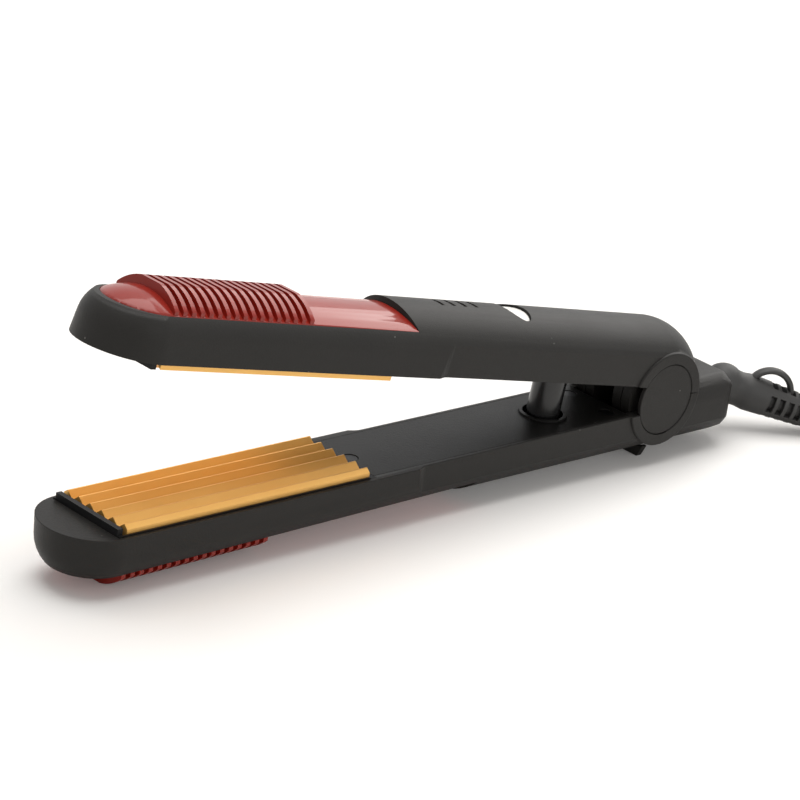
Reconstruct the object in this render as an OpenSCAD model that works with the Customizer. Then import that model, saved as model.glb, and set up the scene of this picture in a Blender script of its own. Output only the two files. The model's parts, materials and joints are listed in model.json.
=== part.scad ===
// Hair crimper: two hinged arms with ridged plates, a sprung hinge, a slide lock and a swivelling cord.
// Both arms are drawn in the lower arm's own position: z = 0 is the closing plane
// and depths count down from it.
// The upper arm is that drawing mirrored and turned about the hinge to the open angle.

/* [Arms] */
// Length of the crimper from the nose to the end of the barrel
body_len = 300; // [292:1:320]
// Width of the head round the plates
head_w = 36; // [35:0.5:38]
// Width of the handle
handle_w = 32.4; // [32:0.1:33.4]
// Depth of the upper arm from the closing plane to its crown
upper_depth = 24.2; // [23.8:0.1:25.4]
// Depth of the lower handle from the closing plane to its crown
lower_depth = 22.05; // [21.8:0.05:23]
// Depth of both rims under the closing plane
rim_d = 3.94; // [3.6:0.02:4.2]
// Wall thickness of the two housings
wall = 2.2; // [1.8:0.1:2.3]
// Radius of the crown's arc across the arm
crown_r = 19.3; // [18.8:0.1:20.4]
// Radius of the corner between the crown and the flank
corner_r = 12; // [10:0.25:12.5]
// How far the crown's edge lies inside the handle's side
shoulder_inset = 2; // [1.6:0.1:2.4]
// Length of the narrowing between head and handle
neck_len = 7; // [5:0.5:10]
// Distance from the plates to the narrowing
neck_gap = 18; // [15:0.5:20]
// Radius of the barrel's upright rear corners
barrel_plan_r = 11.5; // [9:0.5:12.5]
// Radius of the barrel's rear edges seen from the side
barrel_side_r = 9.5; // [7:0.5:10.5]
// Radius of the barrel's rear edges seen along its slanting corners
barrel_corner_r = 10; // [7:0.5:10.5]
// Rise of the barrel above the closing plane
barrel_rise = 2.6; // [2.2:0.1:3]

/* [Hinge] */
// Angle between the arms at rest
open_angle = 11.5; // [9:0.5:13]
// Distance from the hinge axis to the barrel's end
hinge_back = 42.8; // [42:0.2:46]
// Radius of the hinge pin
pin_r = 3; // [2.6:0.1:3.2]
// Outer radius of the knuckles
knuckle_r = 14; // [13.4:0.1:14.2]
// Radius of the rings that stand out round the side caps
boss_r = 17; // [16:0.25:17.5]
// How far the rings stand out from the handles
boss_rise = 0.7; // [0.4:0.1:1.2]
// Radius of the side caps
cap_r = 12.7; // [12:0.1:13.5]
// Thickness of the bushes round the pin
bush_wall = 0.95; // [0.8:0.05:1.2]
// Radial clearance of the pin in its bushes
pin_clear = 0.05; // [0.03:0.01:0.09]
// Gap between the upper arm's rear end and the barrel
barrel_gap = 0.5; // [0.4:0.05:0.8]

/* [Plates] */
// Length of the crimping plates
plate_len = 100; // [92:1:104]
// Length of the nose in front of the plates
nose_len = 18.8; // [18:0.2:21]
// Spacing of the ridges
ridge_pitch = 5.51; // [4.5:0.05:6.5]
// Height of the ridges
ridge_h = 2.3; // [1.8:0.1:2.5]
// Depth of the crests under the closing plane
crest_d = 0.69; // [0.6:0.01:0.9]
// Depth of the plates' flat back
plate_back_d = 5; // [4.8:0.05:5.2]
// Width of the plate carrier's side lip
lip_w = 0.6; // [0.5:0.05:0.8]
// Thickness of the ceramic heaters
heater_t = 2.4; // [1.8:0.1:2.4]
// Width of the ceramic heaters
heater_w = 14; // [10:0.5:16]

/* [Heat guards] */
// Number of ribs on each guard
rib_count = 17; // [9:1:17]
// Spacing of the ribs
rib_pitch = 3.59; // [3.2:0.05:3.6]
// Thickness of a rib
rib_t = 1.7; // [1.2:0.1:2]
// Rise of the guard's crown above its edge
guard_rise = 4.15; // [3.8:0.05:4.6]
// Height of the ribs' flat tops above the guard's edge
rib_stand = 6.95; // [6.6:0.05:7.1]
// Thickness of the guard's shell
guard_t = 1.8; // [1.4:0.1:2.2]
// Length of the upper guard behind the plates
upper_guard_tail = 8; // [6:0.5:10]
// Length of the lower guard behind the plates
lower_guard_tail = 52; // [48:0.5:54]

/* [Handle fittings] */
// Distance from the plates to the power button's middle
button_x_from_plate = 65; // [62:0.5:66]
// Length of the power button across the handle
button_w = 16; // [13:0.5:16]
// Width of the power button along the handle
button_l = 9.6; // [8:0.2:10]
// Travel of the power button
button_travel = 0.8; // [0.5:0.1:0.9]
// Gap round the power button
button_gap = 0.35; // [0.3:0.05:0.5]
// Number of lamp slots
lamp_count = 4; // [2:1:4]
// Spacing of the lamp slots
lamp_pitch = 5.5; // [4.5:0.1:5.5]
// Length of a lamp slot across the handle
lamp_w = 5.2; // [4:0.2:6]
// Width of a lamp slot
lamp_l = 1.6; // [1.2:0.1:2]
// Thickness of the circuit board
board_t = 1.6; // [1.2:0.2:1.6]
// Thickness of the inner covers
cover_t = 1.8; // [1.5:0.1:2]
// Distance from the hinge axis to the spring post
post_back = 43.4; // [42:0.2:46]
// Outer radius of the spring post
post_r = 5.75; // [5.4:0.05:5.9]
// Length of the spring post below the upper rim
post_len = 21; // [19:0.5:21]
// Wire thickness of the return spring
spring_wire = 0.8; // [0.6:0.1:1]
// Outer radius of the return spring
spring_r = 2.8; // [2.4:0.1:3]
// Number of turns of the return spring
spring_turns = 9; // [6:1:12]
// Travel of the slide lock
lock_travel = 5; // [4:0.25:5.2]
// Half width of the slide lock's tab
tab_half = 9.7; // [8:0.1:10.5]

/* [Cord] */
// Depth of the swivel's axis under the closing plane
swivel_d = 8.8; // [8.7:0.1:9.5]
// Radius of the swivel's neck
neck_r = 5.5; // [5:0.1:5.6]
// Radial clearance of the swivel in its socket
neck_clear = 0.05; // [0.03:0.01:0.09]
// Diameter of the cord
cord_dia = 6.2; // [5.6:0.1:6.2]
// Length of the strain relief
relief_len = 46; // [40:1:46]
// Radius of the strain relief at the elbow
relief_r0 = 7.2; // [6.4:0.1:7.4]
// Radius of the strain relief where its slots end
relief_mid_r = 5.8; // [5.4:0.1:6.2]
// Length of the strain relief's slotted part
relief_mid = 30; // [26:1:34]
// Radius of the strain relief at the cord
relief_r1 = 4.2; // [3.8:0.1:4.4]
// Radius of the hang-up loop to the middle of its wire
loop_r = 8; // [7.4:0.1:8.4]
// Thickness of the hang-up loop's wire
loop_t = 2.6; // [2.2:0.1:3]
// Distance from the elbow to the middle of the hang-up loop
loop_s = 17; // [15:0.5:19]
// Radius of the elbow's ball
ball_r = 7.5; // [7.2:0.1:7.8]
// Radius of the hank's folds to the middle of the cord
hank_r = 18.6; // [18.6:0.1:19.5]
// Spacing of the hank's turns, one on the other
hank_pitch = 6.8; // [6.7:0.1:7.2]
// Radius of the plug's pins
plug_pin_r = 2; // [1.9:0.05:2.2]
// Spacing of the plug's pins
plug_pin_gap = 18.6; // [17.5:0.1:19]
// Length of the plug's pins
plug_pin_len = 19; // [17:0.5:19]

/* [Hidden] */
$fn = 64;

// Places along the arms
nose_x = -body_len / 2 + head_w / 2;
plate_x0 = -body_len / 2 + nose_len;
plate_x1 = plate_x0 + plate_len;
hinge_x = body_len / 2 - hinge_back;
barrel_x = body_len / 2;
neck_x0 = plate_x1 + neck_gap;
neck_x1 = neck_x0 + neck_len;
upper_guard_x = plate_x1 + upper_guard_tail;
lower_guard_x = plate_x1 + lower_guard_tail;
post_x = hinge_x - post_back;
spring_x = post_x + 0.6;
roof_x = hinge_x + boss_r + 2.2;

// The arms' section
half_handle = handle_w / 2;
shoulder_y = half_handle - shoulder_inset;
shoulder_a = asin(shoulder_y / crown_r);
crown_drop = crown_r * (1 - cos(shoulder_a));
upper_edge_d = upper_depth - crown_drop;
lower_edge_d = lower_depth - crown_drop;
lower_tilt = atan((upper_depth - lower_depth) / (lower_guard_x - plate_x0));
lower_half_w = head_w / 2 - 0.4;
mid_z = upper_edge_d + rib_stand;
wide = head_w / 2 + 0.3;

// Guards
guard_half = shoulder_y - 0.1;
guard_r = (pow(guard_half, 2) + pow(guard_rise, 2)) / (2 * guard_rise);
guard_gap = 0.1;
seat_drop = 0.8;
roof_t = 2;
upper_floor_d = upper_edge_d - seat_drop - roof_t;
lower_floor_d = lower_edge_d - seat_drop - roof_t;
guard_front_x = plate_x0 - nose_len + 6.3 + guard_half;
rib_r = 19;
rib_crown = 7.4;
rib_half = guard_half - 0.3;
rib_x0 = plate_x0 + 2;

// Carriers, plates and covers
open_half = head_w / 2 - 1.85;
fit = 0.1;
carrier_half = open_half - fit;
carrier_x0 = plate_x0 - 3.4;
carrier_x1 = plate_x1 + 2.6;
plate_half = carrier_half - lip_w - 0.05;
floor_t = 1.25;
floor_d = plate_back_d + 0.05;
ledge_d = floor_d + floor_t;
skirt_y = [plate_half - 3, plate_half - 1.8];
skirt_d = 11;
rail_y = [plate_half - 5.4, plate_half - 3.4];
rail_d = 9;
heater_inset = 12;
film_over = 2;
clip_over = 6;
film_t = 0.3;
clip_t = 0.6;
clip_d = plate_back_d + heater_t + film_t;
clip_half = rail_y[0] + 1.2;
cover_half = half_handle - 1.6;
cover_x0 = carrier_x1 + 0.2;
cover_x1 = hinge_x - 15.5;
cover_slot_half = cover_half + 0.15;
cover_hole_half = cover_half - 1.4;
roof_d = rim_d + cover_t + 1.16;
front_screw_x = cover_x0 + 3.2;
rear_screw_x = hinge_x - 21;
rear_screw_y = 9;
screw_r = 1.25;
screw_bore_r = 1.3;
screw_boss_r = 3;
screw_head_r = 2.4;
screw_head_t = 1.1;

// Hinge stack, from the middle to the near side
upper_knuckle_y = [4.4, 8.2];
lower_knuckle_y = [8.6, 12.4];
boss_y = [12.6, 15.1];
ring_y = half_handle + boss_rise;
cap_y = [boss_y[1] + 0.1, ring_y - 0.2];
cap_gap = 0.3;
spigot_r = [5.6, 7.5];
spigot_y = 11.5;
pin_half = 13;
clip_y = [11.5, 12.1];
washer_t = 0.3;
washer_r = 7;
bush_r = pin_r + pin_clear + bush_wall;
wedge_gap = 0.35;

// Lock
lock_plate_d = [16.4, 17.6];
lock_half = 8.2;
lock_neck_half = 5;
lock_neck_x = [hinge_x + 0.3, hinge_x + 2.9];
lock_arm_x = [hinge_x + 21, hinge_x + 23];
lock_tip_x = hinge_x + 20;
tongue_d = [3.25, 4.35];
lug_r = 16.5;
lug_t = 1.2;
lug_angle = 20;

// Board, lamps and button in the upper handle
board_back = 21.2;
board_len = 56;
board_x0 = plate_x1 + board_back;
board_x1 = board_x0 + board_len;
board_post_x = [board_x0 + 3, board_x1 - 4];
board_post_y = 7;
board_half = 9.5;
board_d = 14.2;
board_back_d = board_d + board_t;
button_x = plate_x1 + button_x_from_plate;
lamp_x0 = board_x0 + 7.4;
led_r = 1.45;
lens_d = 20.6;
lens_t = 1;
lens_half = 3.2;
switch_half = 3;
switch_d = board_back_d + 3.5;
plunger_r = 1.7;
plunger_d = switch_d + 0.25;
button_face_drop = 0.85;
column_d = plunger_d + button_travel + 0.05;
button_flange_t = 1;

// Spring post
post_flange_r = 8;
post_bore_r = post_r - 1.15;
post_top = 3.6;
post_hole_r = 7.05;
seat_d = 18.5;
seat_pad_d = 19.2;
seat_r = 4.5;
spring_top = mid_z + 14.6;
spring_bottom = mid_z - seat_d + 0.1;

// Swivel and cord
socket_x0 = barrel_x - 19;
socket_x1 = barrel_x - wall - 0.1;
swivel_flange_x = [barrel_x - 5.9, barrel_x - 4.2];
swivel_flange_r = neck_r + 1;
ring_r = 3.6;
ring_bore = 2.8;
tail_x0 = hinge_x + 14.6;
cord_r = cord_dia / 2;
swivel_z = mid_z - swivel_d;
ball_x = barrel_x + ball_r;
cord_yaw = -36.7;
cord_fall = 14.2;
loop_lift = 2.75;
cord_dir = [cos(cord_fall) * cos(cord_yaw), cos(cord_fall) * sin(cord_yaw), -sin(cord_fall)];
relief_end = [ball_x, 0, swivel_z] + relief_len * cord_dir;
hank_x0 = 228;
hank_len = 86;
hank_x1 = hank_x0 + hank_len;
hank_y = -13.9;
hank_z = 4.1;
hank_steps = 24;
hank_rings = 140;
hank_top = hank_z + hank_pitch * floor(hank_rings / hank_steps);
lead_route = [
    [203.2, -34.1, 3.1], [208, -36.9, 3.1], [213.3, -38.6, 3.1], [218.7, -39.2, 3.1], [232, -39.2, 4.1],
    [245, -39.2, 4.1], [258, -39.2, 4.1], [272, -39.2, 4.1], [280, -38.3, 4.1],
    [288.5, -35.9, 4.1], [297, -33.4, 4.1]
];
tail_route = [
    [236, -32.2, 39.4], [242, -31.2, 40.3], [250, -28.9, 41.6], [258, -25.7, 42.8], [266, -22.1, 44.1],
    [274, -18.7, 45.4], [282, -15.9, 46.6], [290, -14.3, 47.8]
];
plug_x = 298;
plug_y = hank_y;
plug_z = 48.3;
tie_x = 237;
tie_t = 0.8;
tie_w = 8;

charcoal = [0.24, 0.235, 0.23];
gloss_black = [0.06, 0.06, 0.065];
guard_red = [0.62, 0.16, 0.12];
plate_gold = [0.82, 0.6, 0.33];
steel = [0.7, 0.71, 0.72];
brass = [0.75, 0.62, 0.3];
ceramic = [0.9, 0.88, 0.83];
off_white = [0.9, 0.89, 0.86];
board_green = [0.1, 0.35, 0.18];
lead_white = [0.85, 0.85, 0.82];

// ---------- section and plan outlines ----------

// Points of an arc, in y and depth
function arc(cy, cd, r, a0, a1, n) =
    [for (i = [0:n]) let (t = a0 + (a1 - a0) * i / n) [cy + r * cos(t), cd + r * sin(t)]];

// Middle of the corner arc of a section of this depth
function corner_mid(depth) =
    let (reach = crown_r - corner_r) [reach * sin(shoulder_a), depth - crown_r + reach * cos(shoulder_a)];

// Angle of the flank's outward normal, for a flank that passes through half_w at the rim
function flank_a(depth, half_w) =
    let (k = corner_mid(depth), p = [half_w - k[0], rim_d - k[1]])
    atan2(p[1], p[0]) + acos(min(corner_r / norm(p), 1));

// Half of the section from its top edge to the crown, as y and depth, drawn in by inset
function half_section(depth, half_w, inset, top) =
    let (k = corner_mid(depth), a = flank_a(depth, half_w))
    concat(
        [[k[0] + (corner_r - inset - sin(a) * (top - k[1])) / cos(a), top]],
        arc(k[0], k[1], corner_r - inset, a, 90 - shoulder_a, 4),
        [for (i = [1:7]) let (t = 90 - shoulder_a * (1 - i / 7), r = crown_r - inset)
            [r * cos(t), depth - crown_r + r * sin(t)]]
    );

// The whole section, as y and z
function section(depth, half_w, inset, top) =
    let (h = half_section(depth, half_w, inset, top), n = len(h))
    concat([for (p = h) [p[0], -p[1]]], [for (i = [n - 2:-1:0]) [-h[i][0], -h[i][1]]]);

// Half width of the arm along its length
function half_width(x) =
    x <= neck_x0 ? wide : x >= neck_x1 ? half_handle
    : wide - (wide - half_handle) * (1 - cos(180 * (x - neck_x0) / neck_len)) / 2;

// Side of the plan outline, from the nose to x_end
function plan_side(inset, x_end) = concat(
    [[-body_len, wide - inset]],
    [for (i = [0:10]) let (x = neck_x0 + neck_len * i / 10) [x, half_width(x) - inset]],
    [[x_end, half_handle - inset]]
);

// Mirrors a row of points to close an outline
function both_edges(side) = concat(side, [for (i = [len(side) - 1:-1:0]) [side[i][0], -side[i][1]]]);

module along_x(x0, x1) {
    translate([x0, 0, 0]) rotate([90, 0, 90]) linear_extrude(x1 - x0) children();
}

module along_y(y0, y1) {
    translate([0, y1, 0]) rotate([90, 0, 0]) linear_extrude(y1 - y0) children();
}

module upright(outline) {
    translate([0, 0, -60]) linear_extrude(120) polygon(outline);
}

module slab(x0, x1, y0, y1, d0, d1) {
    translate([x0, y0, -d1]) cube([x1 - x0, y1 - y0, d1 - d0]);
}

module rod_x(d, r, x0, x1) {
    translate([x0, 0, -d]) rotate([0, 90, 0]) cylinder(r = r, h = x1 - x0);
}

module rod_y(x, d, r, y0, y1) {
    translate([x, y0, -d]) rotate([-90, 0, 0]) cylinder(r = r, h = y1 - y0);
}

module rod_z(x, y, r, d0, d1) {
    translate([x, y, -d1]) cylinder(r = r, h = d1 - d0);
}

module both_sides() {
    children();
    mirror([0, 1, 0]) children();
}

module in_lower() {
    translate([0, 0, mid_z]) children();
}

module in_upper() {
    translate([hinge_x, 0, mid_z]) rotate([0, open_angle, 0]) translate([-hinge_x, 0, 0])
        mirror([0, 0, 1]) children();
}

// Slopes the lower arm's front part down towards the nose
module tilted() {
    translate([lower_guard_x, 0, 0]) rotate([0, -lower_tilt, 0])
        translate([-lower_guard_x, 0, 0]) children();
}

// ---------- housings ----------

module arm_form(depth, half_w, inset, top, x_end) {
    half = half_section(depth, half_w, inset, top);
    translate([nose_x, 0, 0]) rotate_extrude() polygon(concat([[0, -top]], [for (p = half) [p[0], -p[1]]]));
    along_x(nose_x, x_end) polygon(section(depth, half_w, inset, top));
}

// The section turned about the hinge axis
module drum(depth, half_w, inset) {
    half = half_section(depth, half_w, inset, 0);
    n = len(half);
    outline = concat([for (p = half) [p[1], p[0]]], [for (i = [n - 2:-1:0]) [half[i][1], -half[i][0]]]);
    translate([hinge_x, 0, 0]) rotate([90, 0, 0]) rotate_extrude() polygon(outline);
}

module above_rim() {
    translate([-body_len, -50, -rim_d]) cube([body_len + hinge_x, 100, 60]);
}

module plan(inset, x_end) {
    upright(both_edges(plan_side(inset, x_end)));
}

// Where the plate carrier and the inner cover drop in from the rim
module rim_openings() {
    slab(carrier_x0 - fit, carrier_x1 + 0.1, -open_half, open_half, 0, ledge_d);
    slab(carrier_x1, cover_x1 + 0.1, -cover_slot_half, cover_slot_half, 0, rim_d + cover_t);
    slab(carrier_x0 + 1.9, carrier_x1 - 1, -skirt_y[1] - 0.3, skirt_y[1] + 0.3,
        ledge_d - 0.1, skirt_d + 0.6);
    slab(cover_x0 + 1.2, cover_x1 + 0.1, -cover_hole_half, cover_hole_half, rim_d, roof_d + 0.1);
}

module screw_posts(depth_end) {
    rod_z(front_screw_x, 0, screw_boss_r, rim_d + cover_t, depth_end[0]);
    both_sides() rod_z(rear_screw_x, rear_screw_y, screw_boss_r, rim_d + cover_t, depth_end[1]);
}

module screw_holes() {
    rod_z(front_screw_x, 0, screw_bore_r, rim_d, rim_d + cover_t + 8);
    both_sides() rod_z(rear_screw_x, rear_screw_y, screw_bore_r, rim_d, rim_d + cover_t + 8);
}

// The flat round faces inside both walls at the hinge
module hinge_bosses(r) {
    both_sides() rod_y(hinge_x, 0, r, boss_y[0], boss_y[1] + 0.5);
}

// The rings round the caps, on one side of the closing plane
module hinge_rings() {
    intersection() {
        both_sides() rod_y(hinge_x, 0, boss_r, boss_y[0], ring_y);
        slab(hinge_x - boss_r - 1, hinge_x + boss_r + 1, -40, 40, 0, 60);
    }
}

module hinge_cuts() {
    both_sides() rod_y(hinge_x, 0, cap_r + cap_gap, boss_y[1], ring_y + 3);
    both_sides() rod_y(hinge_x, 0, spigot_r[1] + 0.3, boss_y[0] - 1, boss_y[1] + 1);
}

// Outline of a heat guard seen from its crown
function guard_outline(grow, x_end) = concat(
    [for (i = [0:24]) let (t = 90 + 180 * i / 24)
        [guard_front_x + (guard_half + grow) * cos(t), (guard_half + grow) * sin(t)]],
    [for (i = [0:8]) let (y = (guard_half + grow) * (i / 4 - 1))
        [x_end + grow - 3 * (1 - pow(y / guard_half, 2)), y]]
);

// The room that a guard takes out of a housing
module guard_seat(edge_d, x_end) {
    translate([0, 0, -60]) linear_extrude(60 - edge_d + seat_drop) polygon(guard_outline(guard_gap, x_end));
    slab(-body_len, x_end - 4, -40, 40, edge_d, 60);
}

module upper_outer() {
    intersection() {
        union() {
            arm_form(upper_depth, head_w / 2, 0, 0, hinge_x);
            intersection() {
                drum(upper_depth, head_w / 2, 0);
                slab(hinge_x, hinge_x + 60, -40, 40, 0, 60);
            }
        }
        plan(0, hinge_x + 60);
    }
    hinge_rings();
}

module upper_cavity() {
    intersection() {
        union() {
            intersection() {
                arm_form(upper_depth, head_w / 2, wall, 0, upper_guard_x);
                slab(-body_len, upper_guard_x - 3 - wall, -40, 40, ledge_d + 0.6, upper_floor_d);
            }
            intersection() {
                along_x(upper_guard_x - 3 - wall - 0.01, hinge_x)
                    polygon(section(upper_depth, head_w / 2, wall, 0));
                union() {
                    slab(upper_guard_x - 4 - wall, upper_guard_x + wall, -40, 40, roof_d, upper_floor_d);
                    slab(upper_guard_x + wall - 0.01, cover_x1 + 0.01, -40, 40, roof_d, 60);
                    slab(cover_x1, hinge_x + 1, -40, 40, 0, 60);
                }
            }
            intersection() {
                drum(upper_depth, head_w / 2, wall);
                slab(hinge_x, hinge_x + 60, -40, 40, -1, 60);
            }
        }
        plan(wall, hinge_x + 60);
    }
}

// The room under the button, the lamp slots and the button's shaft in the crown
module crown_cuts() {
    translate([button_x, 0, -40]) linear_extrude(30) button_shape(button_gap);
    for (i = [0:lamp_count - 1]) {
        x = lamp_x0 + i * lamp_pitch;
        slab(x - lamp_l / 2, x + lamp_l / 2, -lamp_w / 2, lamp_w / 2, lens_d, 40);
    }
}

// Crosswise oval of the power button: two arcs that meet in rounded ends
module button_shape(grow) {
    a = button_w / 2;
    b = button_l / 2;
    polygon([for (i = [0:31]) let (t = 360 * i / 32) [(b + grow) * cos(t), (a + grow) * sin(t)]]);
}

module board_posts() {
    for (x = board_post_x) both_sides() rod_z(x, board_post_y, 2.4, board_back_d, upper_depth - wall + 0.5);
}

module board_post_bores(r) {
    for (x = board_post_x) both_sides() rod_z(x, board_post_y, r, board_d - 2, board_back_d + 4);
}

module upper_housing() {
    color(charcoal) {
        in_upper() {
            difference() {
                union() {
                    difference() {
                        upper_outer();
                        upper_cavity();
                    }
                    intersection() {
                        upper_outer();
                        union() {
                            hinge_bosses(boss_r + 1.5);
                            screw_posts([upper_depth - wall + 0.5, upper_depth - wall + 0.5]);
                            board_posts();
                            slab(post_x - 1, post_x + 1, -10, 10, rim_d + post_top + 1.1, upper_depth - 1);
                            both_sides() slab(hinge_x - 11, hinge_x + 8,
                                upper_knuckle_y[0], upper_knuckle_y[1], 8, upper_depth - 1);
                        }
                    }
                }
                above_rim();
                translate([hinge_x, 0, 0]) rotate([0, open_angle, 0])
                    translate([0, -50, -wedge_gap]) cube([60, 100, 60]);
                rim_openings();
                screw_holes();
                board_post_bores(screw_bore_r);
                guard_seat(upper_edge_d, upper_guard_x);
                crown_cuts();
                hinge_cuts();
                both_sides() rod_y(hinge_x, 0, knuckle_r + 0.5,
                    lower_knuckle_y[0] - 0.3, lower_knuckle_y[1] + 0.15);
            }
            both_sides() difference() {
                rod_y(hinge_x, 0, knuckle_r, upper_knuckle_y[0], upper_knuckle_y[1]);
                rod_y(hinge_x, 0, bush_r + 0.02, 0, 20);
            }
        }
        translate([hinge_x, 0, mid_z]) rotate([0, lug_angle, 0])
            both_sides() translate([knuckle_r - 0.5, upper_knuckle_y[0], -lug_t / 2])
                cube([lug_r - knuckle_r + 0.5, upper_knuckle_y[1] - upper_knuckle_y[0], lug_t]);
    }
}

// Half of the barrel's closed section, from the middle of its top to its bottom, as y and depth
function barrel_half(inset) = concat(
    [[0, -barrel_rise + inset]],
    [for (p = arc(half_handle - 7, 5, 7 - inset, -90, 0, 6)) p],
    [for (p = half_section(lower_depth, lower_half_w, inset, 8)) p]
);

module barrel_prism(inset) {
    h = barrel_half(inset);
    n = len(h);
    outline = concat([for (p = h) [p[0], -p[1]]], [for (i = [n - 2:-1:1]) [-h[i][0], -h[i][1]]]);
    along_x(hinge_x, barrel_x - inset) polygon(outline);
}

// Limits the lower arm to its rounded rear end, in plan and from the side
module rear_round(inset) {
    x = barrel_x - inset;
    rp = barrel_plan_r - inset;
    y = half_handle - inset;
    side = concat(
        [for (p = plan_side(inset, x - rp)) p],
        [for (i = [1:6]) let (t = 90 - 90 * i / 6) [x - rp + rp * cos(t), y - rp + rp * sin(t)]]
    );
    upright(both_edges(side));
}

module rear_side_round(inset) {
    x = barrel_x - inset;
    rs = barrel_side_r - inset;
    low = lower_depth - inset;
    high = barrel_rise - inset;
    along_y(-40, 40) polygon(concat(
        [[-body_len, -60], [x - rs, -60]],
        [for (i = [0:6]) let (t = -90 + 15 * i) [x - rs + rs * cos(t), -low + rs + rs * sin(t)]],
        [for (i = [0:6]) let (t = 15 * i) [x - rs + rs * cos(t), high - rs + rs * sin(t)]],
        [[x - rs, 40], [-body_len, 40]]
    ));
}

// Rounds the slanting corners of the rear end, each as it is seen along the corner
module rear_corners(inset) {
    x = barrel_x - inset;
    r = barrel_corner_r - inset;
    for (a = [-60, -30, 30, 60]) {
        reach = max([for (p = barrel_half(inset)) p[0] * cos(a) + p[1] * sin(a)]);
        both_sides() rotate([-90 - a, 0, 0]) along_y(-40, 40) polygon(concat(
            [for (i = [0:6]) let (t = 90 - 15 * i) [x - r + r * cos(t), reach - r + r * sin(t)]],
            [[x + 5, reach - r], [x + 5, reach + 5], [x - r, reach + 5]]
        ));
    }
}

module lower_outer() {
    difference() {
        lower_form();
        rear_corners(0);
    }
    hinge_rings();
}

module lower_form() {
    intersection() {
        union() {
            difference() {
                tilted() arm_form(lower_depth, lower_half_w, 0, -3, lower_guard_x);
                slab(lower_guard_x - 0.01, lower_guard_x + 30, -40, 40, -30, 60);
            }
            along_x(lower_guard_x - 0.02, hinge_x + 0.01) polygon(section(lower_depth, lower_half_w, 0, 0));
            intersection() {
                along_x(hinge_x, hinge_x + 40) polygon(section(lower_depth, lower_half_w, 0, 0));
                drum(upper_depth, head_w / 2, -barrel_gap);
            }
            difference() {
                barrel_prism(0);
                intersection() {
                    drum(upper_depth, head_w / 2, -barrel_gap);
                    slab(hinge_x - 1, hinge_x + 60, -40, 40, -60, 0);
                }
            }
        }
        rear_round(0);
        rear_side_round(0);
    }
}

module lower_cavity() {
    difference() {
        lower_hollow();
        rear_corners(wall);
    }
}

module lower_hollow() {
    intersection() {
        union() {
            intersection() {
                tilted() intersection() {
                    arm_form(lower_depth, lower_half_w, wall, -3, lower_guard_x);
                    slab(-body_len, lower_guard_x - 3 - wall, -40, 40, -3, lower_floor_d);
                }
                slab(-body_len, lower_guard_x, -40, 40, ledge_d + 0.6, 60);
            }
            intersection() {
                along_x(lower_guard_x - 3 - wall - 0.3, barrel_x - wall)
                    polygon(section(lower_depth, lower_half_w, wall, 0));
                union() {
                    slab(lower_guard_x - 6 - wall, lower_guard_x + wall, -40, 40, roof_d, lower_floor_d);
                    slab(lower_guard_x + wall - 0.01, cover_x1 + 0.01, -40, 40, roof_d, 60);
                    slab(cover_x1, roof_x, -40, 40, -1, 60);
                    slab(roof_x - 0.1, barrel_x, -40, 40, wall, 60);
                }
            }
        }
        rear_round(wall);
        rear_side_round(wall);
    }
}

module lower_housing() {
    color(charcoal) in_lower() {
        difference() {
            union() {
                difference() {
                    lower_outer();
                    lower_cavity();
                }
                intersection() {
                    lower_outer();
                    union() {
                        hinge_bosses(boss_r + 1.5);
                        screw_posts([lower_floor_d + 0.4, lower_depth - wall + 0.5]);
                        rod_z(spring_x, 0, seat_r + 1.5, seat_pad_d, lower_depth - 1);
                        both_sides() slab(hinge_x - 9, hinge_x + 9,
                            lower_knuckle_y[0], lower_knuckle_y[1], 8, lower_depth - 1);
                    }
                }
            }
            above_rim();
            rim_openings();
            screw_holes();
            tilted() guard_seat(lower_edge_d, lower_guard_x);
            hinge_cuts();
            both_sides() rod_y(hinge_x, 0, knuckle_r + 0.5,
                upper_knuckle_y[0] - 0.2, upper_knuckle_y[1] + 0.2);
            rod_z(spring_x, 0, 1.6, seat_pad_d - 1, seat_pad_d + 1.2);
            slab(lock_neck_x[0] - lock_travel - 0.3, lock_neck_x[1] + 0.3,
                -lock_neck_half - 0.25, lock_neck_half + 0.25, 12, 40);
            rod_x(swivel_d, neck_r + 0.35, barrel_x - wall - 1, barrel_x + 1);
        }
        both_sides() difference() {
            rod_y(hinge_x, 0, knuckle_r, lower_knuckle_y[0], lower_knuckle_y[1]);
            rod_y(hinge_x, 0, pin_r + 0.02, 0, 20);
            rod_y(hinge_x, 0, spigot_r[1] + 0.05, spigot_y - 0.1, 20);
        }
    }
}

// ---------- heat guards ----------

module guard_dome(edge_d, inset) {
    translate([guard_front_x, 0, -edge_d - guard_rise + guard_r]) {
        sphere(r = guard_r - inset);
        rotate([0, 90, 0]) cylinder(r = guard_r - inset, h = body_len);
    }
}

module heat_guard(edge_d, x_end, flat_d) {
    difference() {
        intersection() {
            translate([0, 0, -60]) linear_extrude(60 - edge_d + seat_drop - 0.05)
                polygon(guard_outline(0, x_end));
            union() {
                guard_dome(edge_d, 0);
                translate([0, 0, -edge_d]) linear_extrude(seat_drop) polygon(guard_outline(0, x_end));
            }
        }
        intersection() {
            guard_dome(edge_d, guard_t);
            slab(-body_len, x_end - 3 - guard_t, -guard_half + guard_t + 1.2, guard_half - guard_t - 1.2,
                edge_d - seat_drop, 60);
        }
    }
    for (i = [0:rib_count - 1]) {
        x = rib_x0 + i * rib_pitch;
        along_x(x - rib_t / 2, x + rib_t / 2) rib_shape(edge_d, flat_d);
    }
}

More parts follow.
